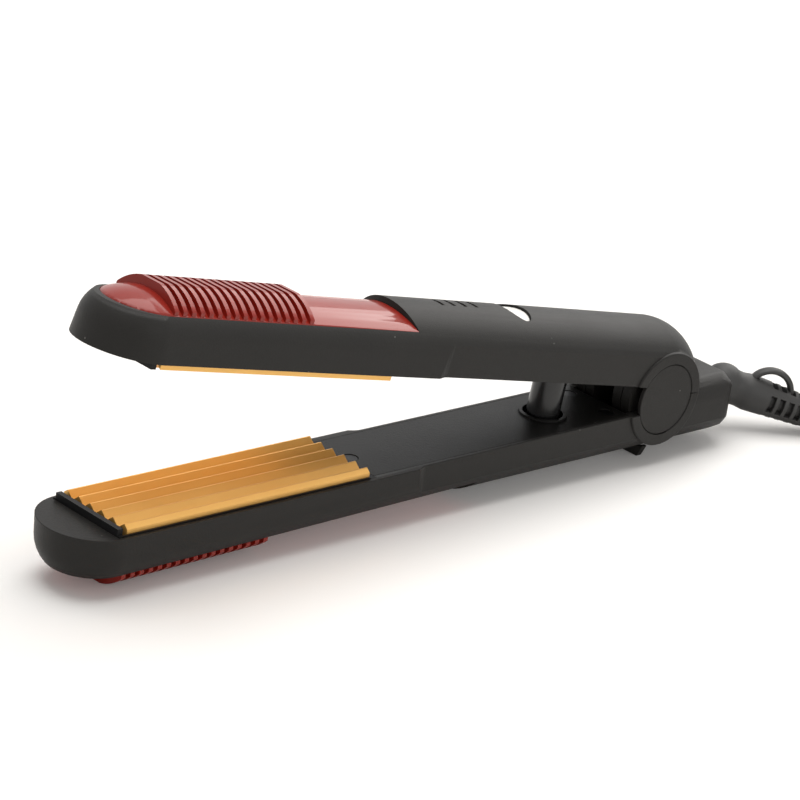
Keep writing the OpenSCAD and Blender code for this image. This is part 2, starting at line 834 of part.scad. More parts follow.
module rib_shape(edge_d, flat_d) {
    intersection() {
        translate([0, -(edge_d + rib_crown - rib_r)]) circle(r = rib_r);
        translate([-rib_half, -flat_d]) square([2 * rib_half, flat_d - edge_d - 0.3]);
        difference() {
            translate([-rib_half, -60]) square([2 * rib_half, 60]);
            translate([0, -(edge_d + guard_rise - guard_r)]) circle(r = guard_r - 0.5);
        }
    }
}

module lower_heat_guard() {
    color(guard_red) in_lower() intersection() {
        tilted() heat_guard(lower_edge_d, lower_guard_x, lower_edge_d + rib_crown + 1);
        slab(-body_len, body_len, -40, 40, 0, mid_z);
    }
}

module upper_heat_guard() {
    color(guard_red) in_upper() heat_guard(upper_edge_d, upper_guard_x, upper_edge_d + rib_stand);
}

// ---------- plates and heating ----------

// Depth of the ridged face at y, with a crest at y = shift
function ridge_d(y, shift) =
    let (q = (y - shift) / ridge_pitch)
    crest_d + ridge_h * 2 * abs(q - round(q));

function ridge_points(shift) =
    let (n = floor(2 * plate_half / ridge_pitch), s = ridge_pitch / 2)
    concat(
        [[-plate_half, -ridge_d(-plate_half, shift)]],
        [for (k = [-n - 2:n + 2]) let (y = k * s) if (abs(y) < plate_half - 0.05) [y, -ridge_d(y, shift)]],
        [[plate_half, -ridge_d(plate_half, shift)]]
    );

module crimp_plate(shift) {
    along_x(plate_x0, plate_x1) polygon(concat(
        [[-plate_half, -plate_back_d]], ridge_points(shift), [[plate_half, -plate_back_d]]
    ));
    both_sides() difference() {
        slab(plate_x0 + 4, plate_x1 - 4, rail_y[0], rail_y[1], plate_back_d - 0.1, rail_d);
        slab(plate_x0, plate_x1, 0, clip_half + 0.1, clip_d - 0.05, clip_d + clip_t + 0.1);
    }
}

module plate_carrier() {
    difference() {
        union() {
            slab(carrier_x0, carrier_x1, -carrier_half, carrier_half, rim_d - 0.44, ledge_d - 0.02);
            slab(carrier_x0, carrier_x0 + 2, -carrier_half + 1, carrier_half - 1, 1.5, ledge_d - 0.02);
            both_sides() slab(carrier_x0 + 3, carrier_x1 - 2, skirt_y[0], skirt_y[1],
                ledge_d - 0.1, skirt_d);
        }
        slab(carrier_x0 + 2, plate_x1 + 0.1, -plate_half - 0.05, plate_half + 0.05, 0, floor_d);
        slab(plate_x0 + 3, plate_x1 - 3, -rail_y[1] - 0.2, rail_y[1] + 0.2, 0, 20);
        slab(plate_x1 + 0.09, carrier_x1 + 1, -carrier_half - 1, carrier_half + 1, 0, rim_d);
    }
}

module heater() {
    slab(plate_x0 + heater_inset, plate_x1 - heater_inset, -heater_w / 2, heater_w / 2,
        plate_back_d, plate_back_d + heater_t);
}

module heater_film() {
    slab(plate_x0 + heater_inset - film_over, plate_x1 - heater_inset + film_over,
        -heater_w / 2 - 1.2, heater_w / 2 + 1.2, plate_back_d + heater_t, plate_back_d + heater_t + film_t);
}

module heater_clip() {
    slab(plate_x0 + heater_inset - clip_over, plate_x1 - heater_inset + clip_over, -clip_half, clip_half,
        clip_d, clip_d + clip_t);
}

module lower_plate_carrier() {
    color(gloss_black) in_lower() plate_carrier();
}

module lower_crimp_plate() {
    color(plate_gold) in_lower() crimp_plate(ridge_pitch / 2);
}

module lower_heater() {
    color(ceramic) in_lower() heater();
}

module lower_heater_film() {
    color(brass) in_lower() heater_film();
}

module lower_heater_clip() {
    color(steel) in_lower() heater_clip();
}

module upper_plate_carrier() {
    color(gloss_black) in_upper() plate_carrier();
}

module upper_crimp_plate() {
    color(plate_gold) in_upper() crimp_plate(0);
}

module upper_heater() {
    color(ceramic) in_upper() heater();
}

module upper_heater_film() {
    color(brass) in_upper() heater_film();
}

module upper_heater_clip() {
    color(steel) in_upper() heater_clip();
}

module thermal_fuse() {
    d = clip_d + clip_t;
    color(steel) in_lower() rod_x(d + 1.6, 1.6, plate_x1 - 50, plate_x1 - 39);
}

module thermistor() {
    d = clip_d + clip_t;
    color(gloss_black) in_upper() {
        translate([plate_x1 - 45, 0, -d - 1.3]) sphere(r = 1.3);
        rod_x(d + 1.3, 0.5, plate_x1 - 44.6, plate_x1 - 36);
    }
}

// ---------- inner covers ----------

module inner_cover() {
    difference() {
        union() {
            slab(cover_x0, cover_x1, -cover_half, cover_half, rim_d, rim_d + cover_t);
            children(0);
        }
        rod_z(front_screw_x, 0, screw_r + 0.3, rim_d - 1, rim_d + cover_t + 1);
        rod_z(front_screw_x, 0, screw_head_r + 0.3, rim_d - 1, rim_d + screw_head_t);
        both_sides() {
            rod_z(rear_screw_x, rear_screw_y, screw_r + 0.3, rim_d - 1, rim_d + cover_t + 1);
            rod_z(rear_screw_x, rear_screw_y, screw_head_r + 0.3, rim_d - 1, rim_d + screw_head_t);
        }
        children(1);
    }
}

module lower_inner_cover() {
    color(charcoal) in_lower() inner_cover() {
        rod_z(post_x, 0, post_hole_r + 1.3, rim_d - 0.6, rim_d + cover_t);
        rod_z(post_x, 0, post_hole_r, rim_d - 2, rim_d + cover_t + 1);
    }
}

module upper_inner_cover() {
    pad_x0 = lower_guard_x - 6.8;
    pad_x1 = post_x - 8;
    color(charcoal) in_upper() inner_cover() {
        along_y(-11, 11) polygon([
            [pad_x0 - 4, -rim_d - 0.5], [pad_x0 - 4, -rim_d], [pad_x0, -rim_d + 1],
            [pad_x1, -rim_d + 1], [pad_x1 + 2, -rim_d],
            [pad_x1 + 2, -rim_d - 0.5]
        ]);
        translate([post_x, 0, -rim_d]) rotate([0, open_angle / 2, 0])
            translate([0, 0, -10]) cylinder(r = post_r + 0.1, h = 20);
    }
}

module cover_screw(x, y) {
    rod_z(x, y, screw_head_r, rim_d + screw_head_t - 0.9, rim_d + screw_head_t);
    rod_z(x, y, screw_r, rim_d + screw_head_t - 0.1, rim_d + cover_t + 7);
}

module cover_screws() {
    cover_screw(front_screw_x, 0);
    both_sides() cover_screw(rear_screw_x, rear_screw_y);
}

module lower_cover_screws() {
    color(steel) in_lower() cover_screws();
}

module upper_cover_screws() {
    color(steel) in_upper() cover_screws();
}

// ---------- hinge ----------

module hinge_pin() {
    color(steel) in_lower() difference() {
        rod_y(hinge_x, 0, pin_r, -pin_half, pin_half);
        both_sides() difference() {
            rod_y(hinge_x, 0, pin_r + 1, clip_y[0] - 0.03, clip_y[1] + 0.03);
            rod_y(hinge_x, 0, pin_r - 0.7, clip_y[0] - 1, clip_y[1] + 1);
        }
    }
}

module retaining_clips() {
    color(steel) in_lower() both_sides() difference() {
        rod_y(hinge_x, 0, pin_r + 2, clip_y[0], clip_y[1]);
        rod_y(hinge_x, 0, pin_r - 0.65, clip_y[0] - 1, clip_y[1] + 1);
        slab(hinge_x - 1.9, hinge_x + 1.9, clip_y[0] - 1, clip_y[1] + 1, 0, 20);
    }
}

module hinge_bushes() {
    color(brass) in_upper() both_sides() difference() {
        rod_y(hinge_x, 0, bush_r, upper_knuckle_y[0], upper_knuckle_y[1]);
        rod_y(hinge_x, 0, pin_r + pin_clear, 0, 20);
    }
}

module thrust_washers() {
    y = (upper_knuckle_y[1] + lower_knuckle_y[0]) / 2;
    color(off_white) in_lower() both_sides() difference() {
        rod_y(hinge_x, 0, washer_r, y - washer_t / 2, y + washer_t / 2);
        rod_y(hinge_x, 0, pin_r + 0.1, 0, 20);
    }
}

module hinge_cap() {
    difference() {
        union() {
            rod_y(hinge_x, 0, cap_r, cap_y[0], cap_y[1]);
            rod_y(hinge_x, 0, spigot_r[1], spigot_y, cap_y[0] + 0.1);
        }
        rod_y(hinge_x, 0, spigot_r[0], spigot_y - 1, cap_y[0]);
    }
}

module hinge_cap_near() {
    color(charcoal) in_lower() mirror([0, 1, 0]) hinge_cap();
}

module hinge_cap_far() {
    color(charcoal) in_lower() hinge_cap();
}

// ---------- spring ----------

module spring_post() {
    color(gloss_black) in_upper() translate([post_x, 0, -rim_d])
    rotate([0, open_angle / 2, 0]) difference() {
        union() {
            translate([0, 0, -post_top]) cylinder(r = post_flange_r, h = 0.9);
            translate([0, 0, -post_top]) cylinder(r = post_r, h = post_top + post_len);
        }
        translate([0, 0, -post_top + 1]) cylinder(r = post_bore_r, h = post_top + post_len);
    }
}

module spring_seat() {
    color(off_white) in_lower() {
        rod_z(spring_x, 0, seat_r, seat_d, seat_pad_d);
        rod_z(spring_x, 0, 1.5, seat_d - 1, seat_pad_d + 1);
    }
}

// ---------- swept tubes ----------

function tangent(path, i) =
    let (n = len(path) - 1, a = path[max(i - 1, 0)], b = path[min(i + 1, n)])
    (b - a) / norm(b - a);

// One ring of points round the path, square to it
function ring(path, i, r, sides) =
    let (t = tangent(path, i), s = cross(t, [0, 0, 1]) / norm(cross(t, [0, 0, 1])), n = cross(s, t))
    [for (k = [0:sides - 1]) let (a = 360 * (k + 0.5) / sides) path[i] + r * (cos(a) * s + sin(a) * n)];

// A round tube of even thickness along a path
module tube(path, r, sides) {
    n = len(path);
    polyhedron(
        points = [for (i = [0:n - 1]) each ring(path, i, r, sides)],
        faces = concat(
            [for (k = [1:sides - 2]) [0, k + 1, k]],
            [for (i = [0:n - 2]) for (k = [0:sides - 1])
                let (a = i * sides + k, b = i * sides + (k + 1) % sides) [a, b, b + sides]],
            [for (i = [0:n - 2]) for (k = [0:sides - 1])
                let (a = i * sides + k, b = i * sides + (k + 1) % sides) [a, b + sides, a + sides]],
            [for (k = [1:sides - 2]) [(n - 1) * sides, (n - 1) * sides + k, (n - 1) * sides + k + 1]]
        )
    );
}

// Least distance between the middles of two turns, point by point
function least_gap(path, apart) = min([
    for (i = [0:len(path) - 1]) for (j = [i + apart:1:len(path) - 1]) norm(path[i] - path[j])
]);

spring_steps = 8;
spring_path = [for (i = [0:spring_turns * spring_steps])
    let (t = i / spring_steps, m = spring_r - spring_wire / 2, h = spring_top - spring_bottom - spring_wire)
    [spring_x + m * cos(360 * t), m * sin(360 * t),
        spring_bottom + spring_wire / 2 + h * t / spring_turns]];

module return_spring() {
    color(steel) tube(spring_path, spring_wire / 2, 6);
}

// ---------- board, lamps, switch and button ----------

module control_board() {
    color(board_green) in_upper() difference() {
        slab(board_x0, board_x1, -board_half, board_half, board_d, board_back_d);
        board_post_bores(screw_r + 0.15);
    }
}

module board_screws() {
    color(steel) in_upper() for (x = board_post_x) both_sides() {
        rod_z(x, board_post_y, 2.2, board_d - 1, board_d);
        rod_z(x, board_post_y, screw_r, board_d - 0.1, board_back_d + 3.5);
    }
}

module board_parts() {
    color(gloss_black) in_upper() {
        slab(board_x0 + 8, board_x0 + 18, -4, 4, board_d - 3, board_d);
        slab(board_x0 + 22, board_x0 + 28, -7, -1, board_d - 2, board_d);
        rod_z(board_x0 + 36, 4, 3, board_d - 5, board_d);
        rod_z(board_x0 + 36, -4, 2.5, board_d - 4.5, board_d);
    }
}

module tact_switch() {
    color(steel) in_upper() {
        slab(button_x - switch_half, button_x + switch_half, -switch_half, switch_half,
            board_back_d, switch_d);
        rod_z(button_x, 0, plunger_r, switch_d - 0.1, plunger_d);
    }
}

module indicator_leds() {
    color("orangered") in_upper() for (i = [0:lamp_count - 1])
        rod_z(lamp_x0 + i * lamp_pitch, 0, led_r, board_back_d, lens_d - 0.2);
}

module lamp_lens() {
    color(off_white) in_upper() {
        slab(lamp_x0 - 2.2, lamp_x0 + (lamp_count - 1) * lamp_pitch + 2.2, -lens_half, lens_half,
            lens_d, lens_d + lens_t);
        for (i = [0:lamp_count - 1]) {
            x = lamp_x0 + i * lamp_pitch;
            slab(x - lamp_l / 2 + 0.1, x + lamp_l / 2 - 0.1, -lamp_w / 2 + 0.1, lamp_w / 2 - 0.1,
                lens_d + 0.1, upper_depth - 0.6);
        }
    }
}

module power_button() {
    color(off_white) in_upper() {
        intersection() {
            translate([button_x, 0, -40]) linear_extrude(40 - column_d) button_shape(0);
            along_x(button_x - 20, button_x + 20)
                polygon(section(upper_depth, head_w / 2, button_face_drop, 0));
        }
        slab(button_x - button_l / 2 - 1.5, button_x + button_l / 2 + 1.5, -3, 3,
            column_d, column_d + button_flange_t);
    }
}

// ---------- lock ----------

module lock_slider() {
    color(charcoal) in_lower() {
        slab(lock_neck_x[0] - 3, lock_arm_x[1], -lock_half, lock_half, lock_plate_d[0], lock_plate_d[1]);
        slab(lock_neck_x[0], lock_neck_x[1], -lock_neck_half, lock_neck_half, lock_plate_d[1] - 0.1, mid_z);
        along_x(lock_neck_x[0], lock_neck_x[1]) difference() {
            polygon([
                [-tab_half, -lower_depth + 1.6], [-tab_half + 2, -mid_z],
                [tab_half - 2, -mid_z], [tab_half, -lower_depth + 1.6]
            ]);
            translate([0, -lower_depth + crown_r]) circle(r = crown_r + 0.4);
        }
        both_sides() {
            slab(lock_arm_x[0], lock_arm_x[1], upper_knuckle_y[0], upper_knuckle_y[1],
                tongue_d[0], lock_plate_d[1]);
            slab(lock_tip_x, lock_arm_x[1], upper_knuckle_y[0], upper_knuckle_y[1],
                tongue_d[0], tongue_d[1]);
        }
    }
}

// ---------- swivel ----------

module swivel_socket() {
    color(off_white) in_lower() difference() {
        intersection() {
            along_x(socket_x0, socket_x1)
                polygon(section(lower_depth, lower_half_w, wall + 0.1, wall + 0.1));
            rear_round(wall + 0.1);
            rear_side_round(wall + 0.1);
        }
        rear_corners(wall + 0.1);
        rod_x(swivel_d, neck_r + neck_clear, socket_x0 - 1, socket_x1 + 1);
        rod_x(swivel_d, swivel_flange_r + 0.1, swivel_flange_x[0] - 0.1, socket_x1 + 1);
    }
}

module cord_swivel() {
    color(charcoal) in_lower() {
        rod_x(swivel_d, neck_r, socket_x0 + 0.3, barrel_x + 3);
        rod_x(swivel_d, swivel_flange_r, swivel_flange_x[0], swivel_flange_x[1]);
        rod_x(swivel_d, ring_bore, tail_x0, socket_x0 + 1);
    }
}

module swivel_rings() {
    color(brass) in_lower() for (x = [tail_x0 + 1.2, tail_x0 + 5]) difference() {
        rod_x(swivel_d, ring_r, x, x + 2.4);
        rod_x(swivel_d, ring_bore + 0.01, x - 1, x + 4);
    }
}

module contact_brushes() {
    color(brass) in_lower() {
        slab(tail_x0 + 1.6, socket_x0, -1.2, 1.2, swivel_d + ring_r + 0.1, swivel_d + ring_r + 0.6);
        slab(tail_x0 + 5.4, socket_x0, -1.2, 1.2, swivel_d - ring_r - 0.6, swivel_d - ring_r - 0.1);
    }
}

module along_cord() {
    translate([ball_x, 0, swivel_z]) rotate([0, 90 + cord_fall, cord_yaw]) children();
}

module strain_relief() {
    color(charcoal) difference() {
        union() {
            translate([ball_x, 0, swivel_z]) sphere(r = ball_r);
            along_cord() {
                cylinder(r1 = relief_r0, r2 = relief_mid_r, h = relief_mid);
                translate([0, 0, relief_mid])
                    cylinder(r1 = relief_mid_r, r2 = relief_r1, h = relief_len - relief_mid);
                translate([-loop_lift, 0, loop_s]) rotate([90, 0, 0])
                    rotate_extrude() translate([loop_r, 0]) circle(d = loop_t);
            }
        }
        in_lower() rod_x(swivel_d, neck_r + 0.02, barrel_x - 5, barrel_x + 3.02);
        translate([0, -40, 0]) cube([barrel_x + 0.3, 80, 60]);
    }
}

// ---------- cord and plug ----------

// One turn of the hank: right fold, far run, left fold, and the near run, which climbs to the next turn
function hank_point(j) =
    j <= 8 ? [hank_x1 + hank_r * cos(22.5 * j - 90), hank_y + hank_r * sin(22.5 * j - 90), 0]
    : j <= 11 ? [hank_x1 - hank_len * (j - 8) / 4, hank_y + hank_r, 0]
    : j <= 20 ? [hank_x0 + hank_r * cos(22.5 * j - 180), hank_y + hank_r * sin(22.5 * j - 180), 0]
    : [hank_x0 + hank_len * (j - 20) / 4, hank_y - hank_r, hank_pitch * min((j - 20) / 2, 1)];

hank_path = concat(
    [[hank_x1 - 2, hank_y - hank_r, hank_z]],
    [for (i = [0:hank_rings])
        hank_point(i % hank_steps) + [0, 0, hank_z + hank_pitch * floor(i / hank_steps)]],
    [[hank_x0 + 2, hank_y - hank_r, hank_top + hank_pitch * 4 / hank_len]]
);
hank_last = len(hank_path) - 1;

// The lead and the tail meet the hank square to its first and last straight steps
lead_path = concat(
    [relief_end, relief_end + cord_dia * cord_dir], lead_route,
    [hank_path[0] - cord_dia * tangent(hank_path, 0), hank_path[0]]
);
tail_path = concat(
    [hank_path[hank_last], hank_path[hank_last] + tangent(hank_path, hank_last)], tail_route,
    [[plug_x - 1, plug_y, plug_z], [plug_x, plug_y, plug_z]]
);

echo("least gap between turns of the hank, mm", least_gap(hank_path, 18) - cord_dia);
echo("least gap between turns of the return spring, mm", least_gap(spring_path, 6) - spring_wire);

module cord_lead() {
    color(gloss_black) tube(lead_path, cord_r, 10);
}

module cord_hank() {
    color(gloss_black) tube(hank_path, cord_r, 6);
}

module cord_tail() {
    color(gloss_black) tube(tail_path, cord_r, 10);
}

module tie_ring() {
    polygon([
        [-42.8, 0.8], [8.1, 0.8], [8.1, 41.5], [-25, 45],
        [-33.8, 44.2], [-35.9, 40.5], [-35.9, 9], [-42.8, 7.6]
    ]);
}

module cord_tie() {
    color(gloss_black) along_x(tie_x, tie_x + tie_w) difference() {
        offset(delta = tie_t) tie_ring();
        tie_ring();
    }
}

module plug_body() {
    color(gloss_black) translate([plug_x, plug_y, plug_z]) rotate([0, 0, -90]) {
        rotate([-90, 0, 0]) cylinder(r1 = 4.4, r2 = 6, h = 12);
        intersection() {
            translate([0, 0, -6.85]) linear_extrude(13.7) polygon([
                [-7, 11], [7, 11], [13, 20], [17.6, 29], [17.6, 35], [-17.6, 35], [-17.6, 29], [-13, 20]
            ]);
            along_y(10, 36) polygon([
                [-17.7, 0], [-12, -6.85], [12, -6.85], [17.7, 0], [12, 6.85], [-12, 6.85]
            ]);
        }
    }
}

module plug_pins() {
    color(steel) for (s = [-1, 1]) translate([plug_x + 35, plug_y + s * plug_pin_gap / 2, plug_z])
        rotate([0, 90, 0]) {
            cylinder(r = plug_pin_r, h = plug_pin_len - plug_pin_r);
            translate([0, 0, plug_pin_len - plug_pin_r]) sphere(r = plug_pin_r);
        }
}

// ---------- leads ----------

lead_wire_r = 0.9;
lead_d = lower_floor_d - 2.6;

module lower_leads() {
    color(lead_white) in_lower() both_sides() tube([
        [plate_x1 - 12, 4, -6.2], [plate_x1 - 7, 4, -6.4], [plate_x1 - 2, 5, -8.2],
        [plate_x1 + 8, 7, -lead_d], [lower_guard_x - 12, 9.5, -lead_d], [post_x - 4, 11, -lead_d - 1.6],
        [post_x + 10, 10, -14], [hinge_x - 19, 4, -15],
        [hinge_x - 13, 2.4, -15], [socket_x0 - 6, 2.4, -15], [socket_x0, 2.4, -15]
    ], lead_wire_r, 8);
}

module upper_leads() {
    color(lead_white) in_upper() both_sides() tube([
        [plate_x1 - 12, 4, -6.2], [plate_x1 - 7, 4, -6.4], [plate_x1 - 2, 5, -8.2], [plate_x1 + 8, 7, -9.4],
        [board_x0 - 3, 6, -11.5], [board_x0 + 3, 3.2, -13.2]
    ], lead_wire_r, 8);
}

lower_housing();
lower_inner_cover();
lower_heat_guard();
lower_plate_carrier();
lower_crimp_plate();
lower_heater();
lower_heater_film();
lower_heater_clip();
thermal_fuse();
lower_leads();
lower_cover_screws();
hinge_pin();
hinge_cap_near();
hinge_cap_far();
retaining_clips();
thrust_washers();
spring_seat();
swivel_socket();
contact_brushes();
upper_housing();
upper_inner_cover();
upper_heat_guard();
upper_plate_carrier();
upper_crimp_plate();
upper_heater();
upper_heater_film();
upper_heater_clip();
thermistor();
upper_leads();
upper_cover_screws();
control_board();
board_parts();
tact_switch();
indicator_leds();
lamp_lens();
board_screws();
spring_post();
hinge_bushes();
return_spring();
power_button();
lock_slider();
cord_swivel();
swivel_rings();
strain_relief();
cord_lead();
cord_hank();
cord_tail();
cord_tie();
plug_body();
plug_pins();
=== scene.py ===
# %% [markdown]
# # Dressing a hair crimper
# A hair crimper is two plastic arms on one hinge, with a ridged hot plate in each.
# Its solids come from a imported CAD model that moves, so nothing here changes where a part sits.
# We keep each solid that is already right, give the seen ones softer edges on a copy,
# and model by hand what a solid can't show well: the rubber strain relief with its loop, and the cord.
# %% Load the frame
import json
import math

import bmesh
import bpy
from mathutils import Matrix, Vector


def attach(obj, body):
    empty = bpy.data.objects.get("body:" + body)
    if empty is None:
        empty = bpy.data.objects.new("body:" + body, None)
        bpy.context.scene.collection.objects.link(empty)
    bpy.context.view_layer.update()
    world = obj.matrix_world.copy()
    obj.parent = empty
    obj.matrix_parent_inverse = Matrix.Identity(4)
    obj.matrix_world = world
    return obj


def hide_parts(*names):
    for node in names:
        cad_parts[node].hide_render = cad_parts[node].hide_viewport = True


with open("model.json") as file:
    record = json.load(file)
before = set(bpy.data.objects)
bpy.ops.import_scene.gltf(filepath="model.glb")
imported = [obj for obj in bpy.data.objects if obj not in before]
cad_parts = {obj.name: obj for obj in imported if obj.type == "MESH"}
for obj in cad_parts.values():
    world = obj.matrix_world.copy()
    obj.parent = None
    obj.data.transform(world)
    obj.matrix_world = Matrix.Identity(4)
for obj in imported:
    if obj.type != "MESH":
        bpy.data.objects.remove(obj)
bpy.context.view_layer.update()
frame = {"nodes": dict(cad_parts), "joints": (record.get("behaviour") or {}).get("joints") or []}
nodes = frame["nodes"]
scene = bpy.context.scene
MM = 0.001

# %% [markdown]
# ## Where things are
# Each arm was drawn lying flat with its closing plane at depth 0, and the upper one was then
# turned open about the hinge. To find the rim or the crown of an arm we ask for a point's place
# in that drawing: x along the arm, y across it and z the depth, outwards from the closing plane.
# %% Places in the two arms
joints = {joint["name"]: joint for joint in frame["joints"]}
hinge = Vector(joints["arm_hinge"]["pos_m"])
OPEN_ANGLE = math.radians(11.5)


def lower_place(point):
    return Vector((point.x, point.y, hinge.z - point.z))


def upper_place(point):
    away = point - hinge
    along = away.x * math.cos(OPEN_ANGLE) - away.z * math.sin(OPEN_ANGLE)
    depth = away.x * math.sin(OPEN_ANGLE) + away.z * math.cos(OPEN_ANGLE)
    return Vector((along + hinge.x, point.y, depth))


def lower_direction(vector):
    return Vector((vector.x, vector.y, -vector.z))


def upper_direction(vector):
    return upper_place(hinge + vector) - upper_place(hinge)


lower_arm = {"body": "lower_arm", "place": lower_place, "direction": lower_direction}
upper_arm = {"body": "upper_arm", "place": upper_place, "direction": upper_direction}
print(f"the hinge axis is {hinge.z / MM:.2f} mm above the table")

# %% [markdown]
# ## The camera
# The crimper is looked at from beyond its nose, a little above and to one side, with a long lens:
# a short one would swell the nose and shrink the hinge.
# The camera rolls by a few degrees, so that the crimper climbs across the frame.
# %% Camera
CAMERA_PLACE = Vector((-0.79823, -0.75692, 0.46818))
CAMERA_AIM = Vector((0.00918, 0.01480, 0.02939))
CAMERA_ROLL = math.radians(8.586)
LENS_LENGTH = 163.09
SENSOR_WIDTH = 36

bpy.ops.object.camera_add(location=CAMERA_PLACE)
camera = bpy.context.object
camera.name = "camera"
camera.rotation_mode = "QUATERNION"
facing = (CAMERA_AIM - CAMERA_PLACE).to_track_quat("-Z", "Y")
camera.rotation_quaternion = facing @ Matrix.Rotation(CAMERA_ROLL, 3, "Z").to_quaternion()
camera.data.lens = LENS_LENGTH
camera.data.sensor_width = SENSOR_WIDTH
camera.data.clip_start = 0.05
scene.camera = camera
print(f"camera {(CAMERA_AIM - CAMERA_PLACE).length:.2f} m away, {camera.data.lens:.0f} mm lens")

# %% [markdown]
# ## The mains cord
# The cord leaves the rubber strain relief, drops to the table and is put away in a hank
# in line with the crimper. A tube could be swept as a mesh, but one long curve
# keeps the cord's real length and its round section by itself.
#
# First we need where the cord starts: at the end of the strain relief, which points
# a little down and to one side of the swivel it sits on.
# %% The cord's start
CORD_DIAMETER = 6.2 * MM
CORD_YAW = math.radians(-36.7)
CORD_FALL = math.radians(14.2)
RELIEF_END = 46
BALL_X = 157.5 * MM
swivel_axis = Vector(joints["cord_swivel_turn"]["pos_m"])
ball_middle = Vector((BALL_X, 0, swivel_axis.z))
cord_direction = Vector((
    math.cos(CORD_FALL) * math.cos(CORD_YAW),
    math.cos(CORD_FALL) * math.sin(CORD_YAW),
    -math.sin(CORD_FALL),
))
relief_end = ball_middle + RELIEF_END * MM * cord_direction
print("the cord starts at", [round(side / MM, 1) for side in relief_end], "mm")

# %% [markdown]
# The hank is a long oval of two straight runs and two round folds. Each turn lies on the one
# below it, and every near run climbs to the next turn in its first half. A fold takes eight
# steps and a run four, so one function gives every point from its step's number.
# %% The hank
LEFT_FOLD = Vector((228, -13.9, 4.1)) * MM
RUN_LENGTH = 86 * MM
FOLD_RADIUS = 18.6 * MM
TURN_PITCH = 6.8 * MM
FOLD_STEPS = 8
RUN_STEPS = 4
CLIMB_STEPS = 2
HALF_TURN = FOLD_STEPS + RUN_STEPS
HANK_STEPS = 140
END_RUN = 2 * MM
STEP_ANGLE = math.radians(180 / FOLD_STEPS)


def hank_point(step):
    """A point of the hank. Each turn starts where the near run meets the right fold."""
    turn, part = divmod(step, 2 * HALF_TURN)
    x, y, climb = 0, 0, 0
    if part <= FOLD_STEPS:
        x = RUN_LENGTH + FOLD_RADIUS * math.sin(STEP_ANGLE * part)
        y = -FOLD_RADIUS * math.cos(STEP_ANGLE * part)
    elif part < HALF_TURN:
        x = RUN_LENGTH * (HALF_TURN - part) / RUN_STEPS
        y = FOLD_RADIUS
    elif part <= HALF_TURN + FOLD_STEPS:
        x = -FOLD_RADIUS * math.sin(STEP_ANGLE * (part - HALF_TURN))
        y = FOLD_RADIUS * math.cos(STEP_ANGLE * (part - HALF_TURN))
    else:
        steps_run = part - HALF_TURN - FOLD_STEPS
        x = RUN_LENGTH * steps_run / RUN_STEPS
        y = -FOLD_RADIUS
        climb = min(steps_run / CLIMB_STEPS, 1)
    return LEFT_FOLD + Vector((x, y, TURN_PITCH * (turn + climb)))


climb_per_metre = TURN_PITCH * RUN_STEPS / (CLIMB_STEPS * RUN_LENGTH)
hank = [hank_point(0) - Vector((END_RUN, 0, 0))]
hank += [hank_point(step) for step in range(HANK_STEPS + 1)]
hank.append(hank[-1] + Vector((END_RUN, 0, climb_per_metre * END_RUN)))
print(f"{HANK_STEPS / (2 * HALF_TURN):.1f} turns")

# %% [markdown]
# Between the strain relief and the hank the cord lies in a loose curve, and from the hank
# it rises over the top turn to the plug. These two stretches follow no rule, so their points
# are listed one by one, in millimetres.
# %% The cord's route
LEAD_PLACES = [
    (203.2, -34.1, 3.1), (208, -36.9, 3.1), (213.3, -38.6, 3.1), (218.7, -39.2, 3.1),
    (232, -39.2, 4.1), (245, -39.2, 4.1), (258, -39.2, 4.1), (272, -39.2, 4.1),
    (280, -38.3, 4.1), (288.5, -35.9, 4.1), (297, -33.4, 4.1),
]
TAIL_PLACES = [
    (236, -32.2, 39.4), (242, -31.2, 40.3), (250, -28.9, 41.6), (258, -25.7, 42.8), (266, -22.1, 44.1),
    (274, -18.7, 45.4), (282, -15.9, 46.6), (290, -14.3, 47.8), (297, -13.9, 48.3), (298, -13.9, 48.3),
]
out_of_hank = (hank[-1] - hank[-2]).normalized()
lead = [relief_end, relief_end + CORD_DIAMETER * cord_direction]
lead += [Vector(place) * MM for place in LEAD_PLACES]
lead.append(hank[0] - Vector((CORD_DIAMETER, 0, 0)))
tail = [hank[-1] + 1 * MM * out_of_hank]
tail += [Vector(place) * MM for place in TAIL_PLACES]
route = lead + hank + tail

# %% [markdown]
# The points become one open spline. A NURBS spline rounds the corners between them.
# The bevel is one metre, and each point's radius scales it down to the cord's own.
# %% The cord
bpy.ops.curve.primitive_nurbs_path_add()
mains_cord = bpy.context.object
mains_cord.name = "mains_cord"
mains_cord.location = (0, 0, 0)
mains_cord.data.splines.clear()
spline = mains_cord.data.splines.new("NURBS")
spline.points.add(len(route) - 1)
for point, place in zip(spline.points, route):
    point.co = (*place, 1)
    point.radius = CORD_DIAMETER / 2
spline.order_u = 4
spline.use_endpoint_u = True
spline.use_cyclic_u = False
spline.resolution_u = 4
mains_cord.data.bevel_depth = 1
mains_cord.data.bevel_resolution = 4
mains_cord.data.use_fill_caps = True
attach(mains_cord, "cord")
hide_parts("cord_lead", "cord_hank", "cord_tail")

# %% [markdown]
# ## Table and light
# Every material below is a small graph of shader nodes. Two helpers keep the graphs short:
# one adds a node with its links and settings, the other does a sum on sockets or plain numbers.
# %% Helpers for shader nodes
def add_node(tree, kind, links=None, **settings):
    """A node of that kind. Settings name its properties, or its inputs with _ for a space."""
    node = tree.nodes.new("ShaderNode" + kind)
    for name, value in settings.items():
        if hasattr(node, name):
            setattr(node, name, value)
        else:
            node.inputs[name.replace("_", " ")].default_value = value
    for name, source in (links or {}).items():
        tree.links.new(source, node.inputs[name])
    return node


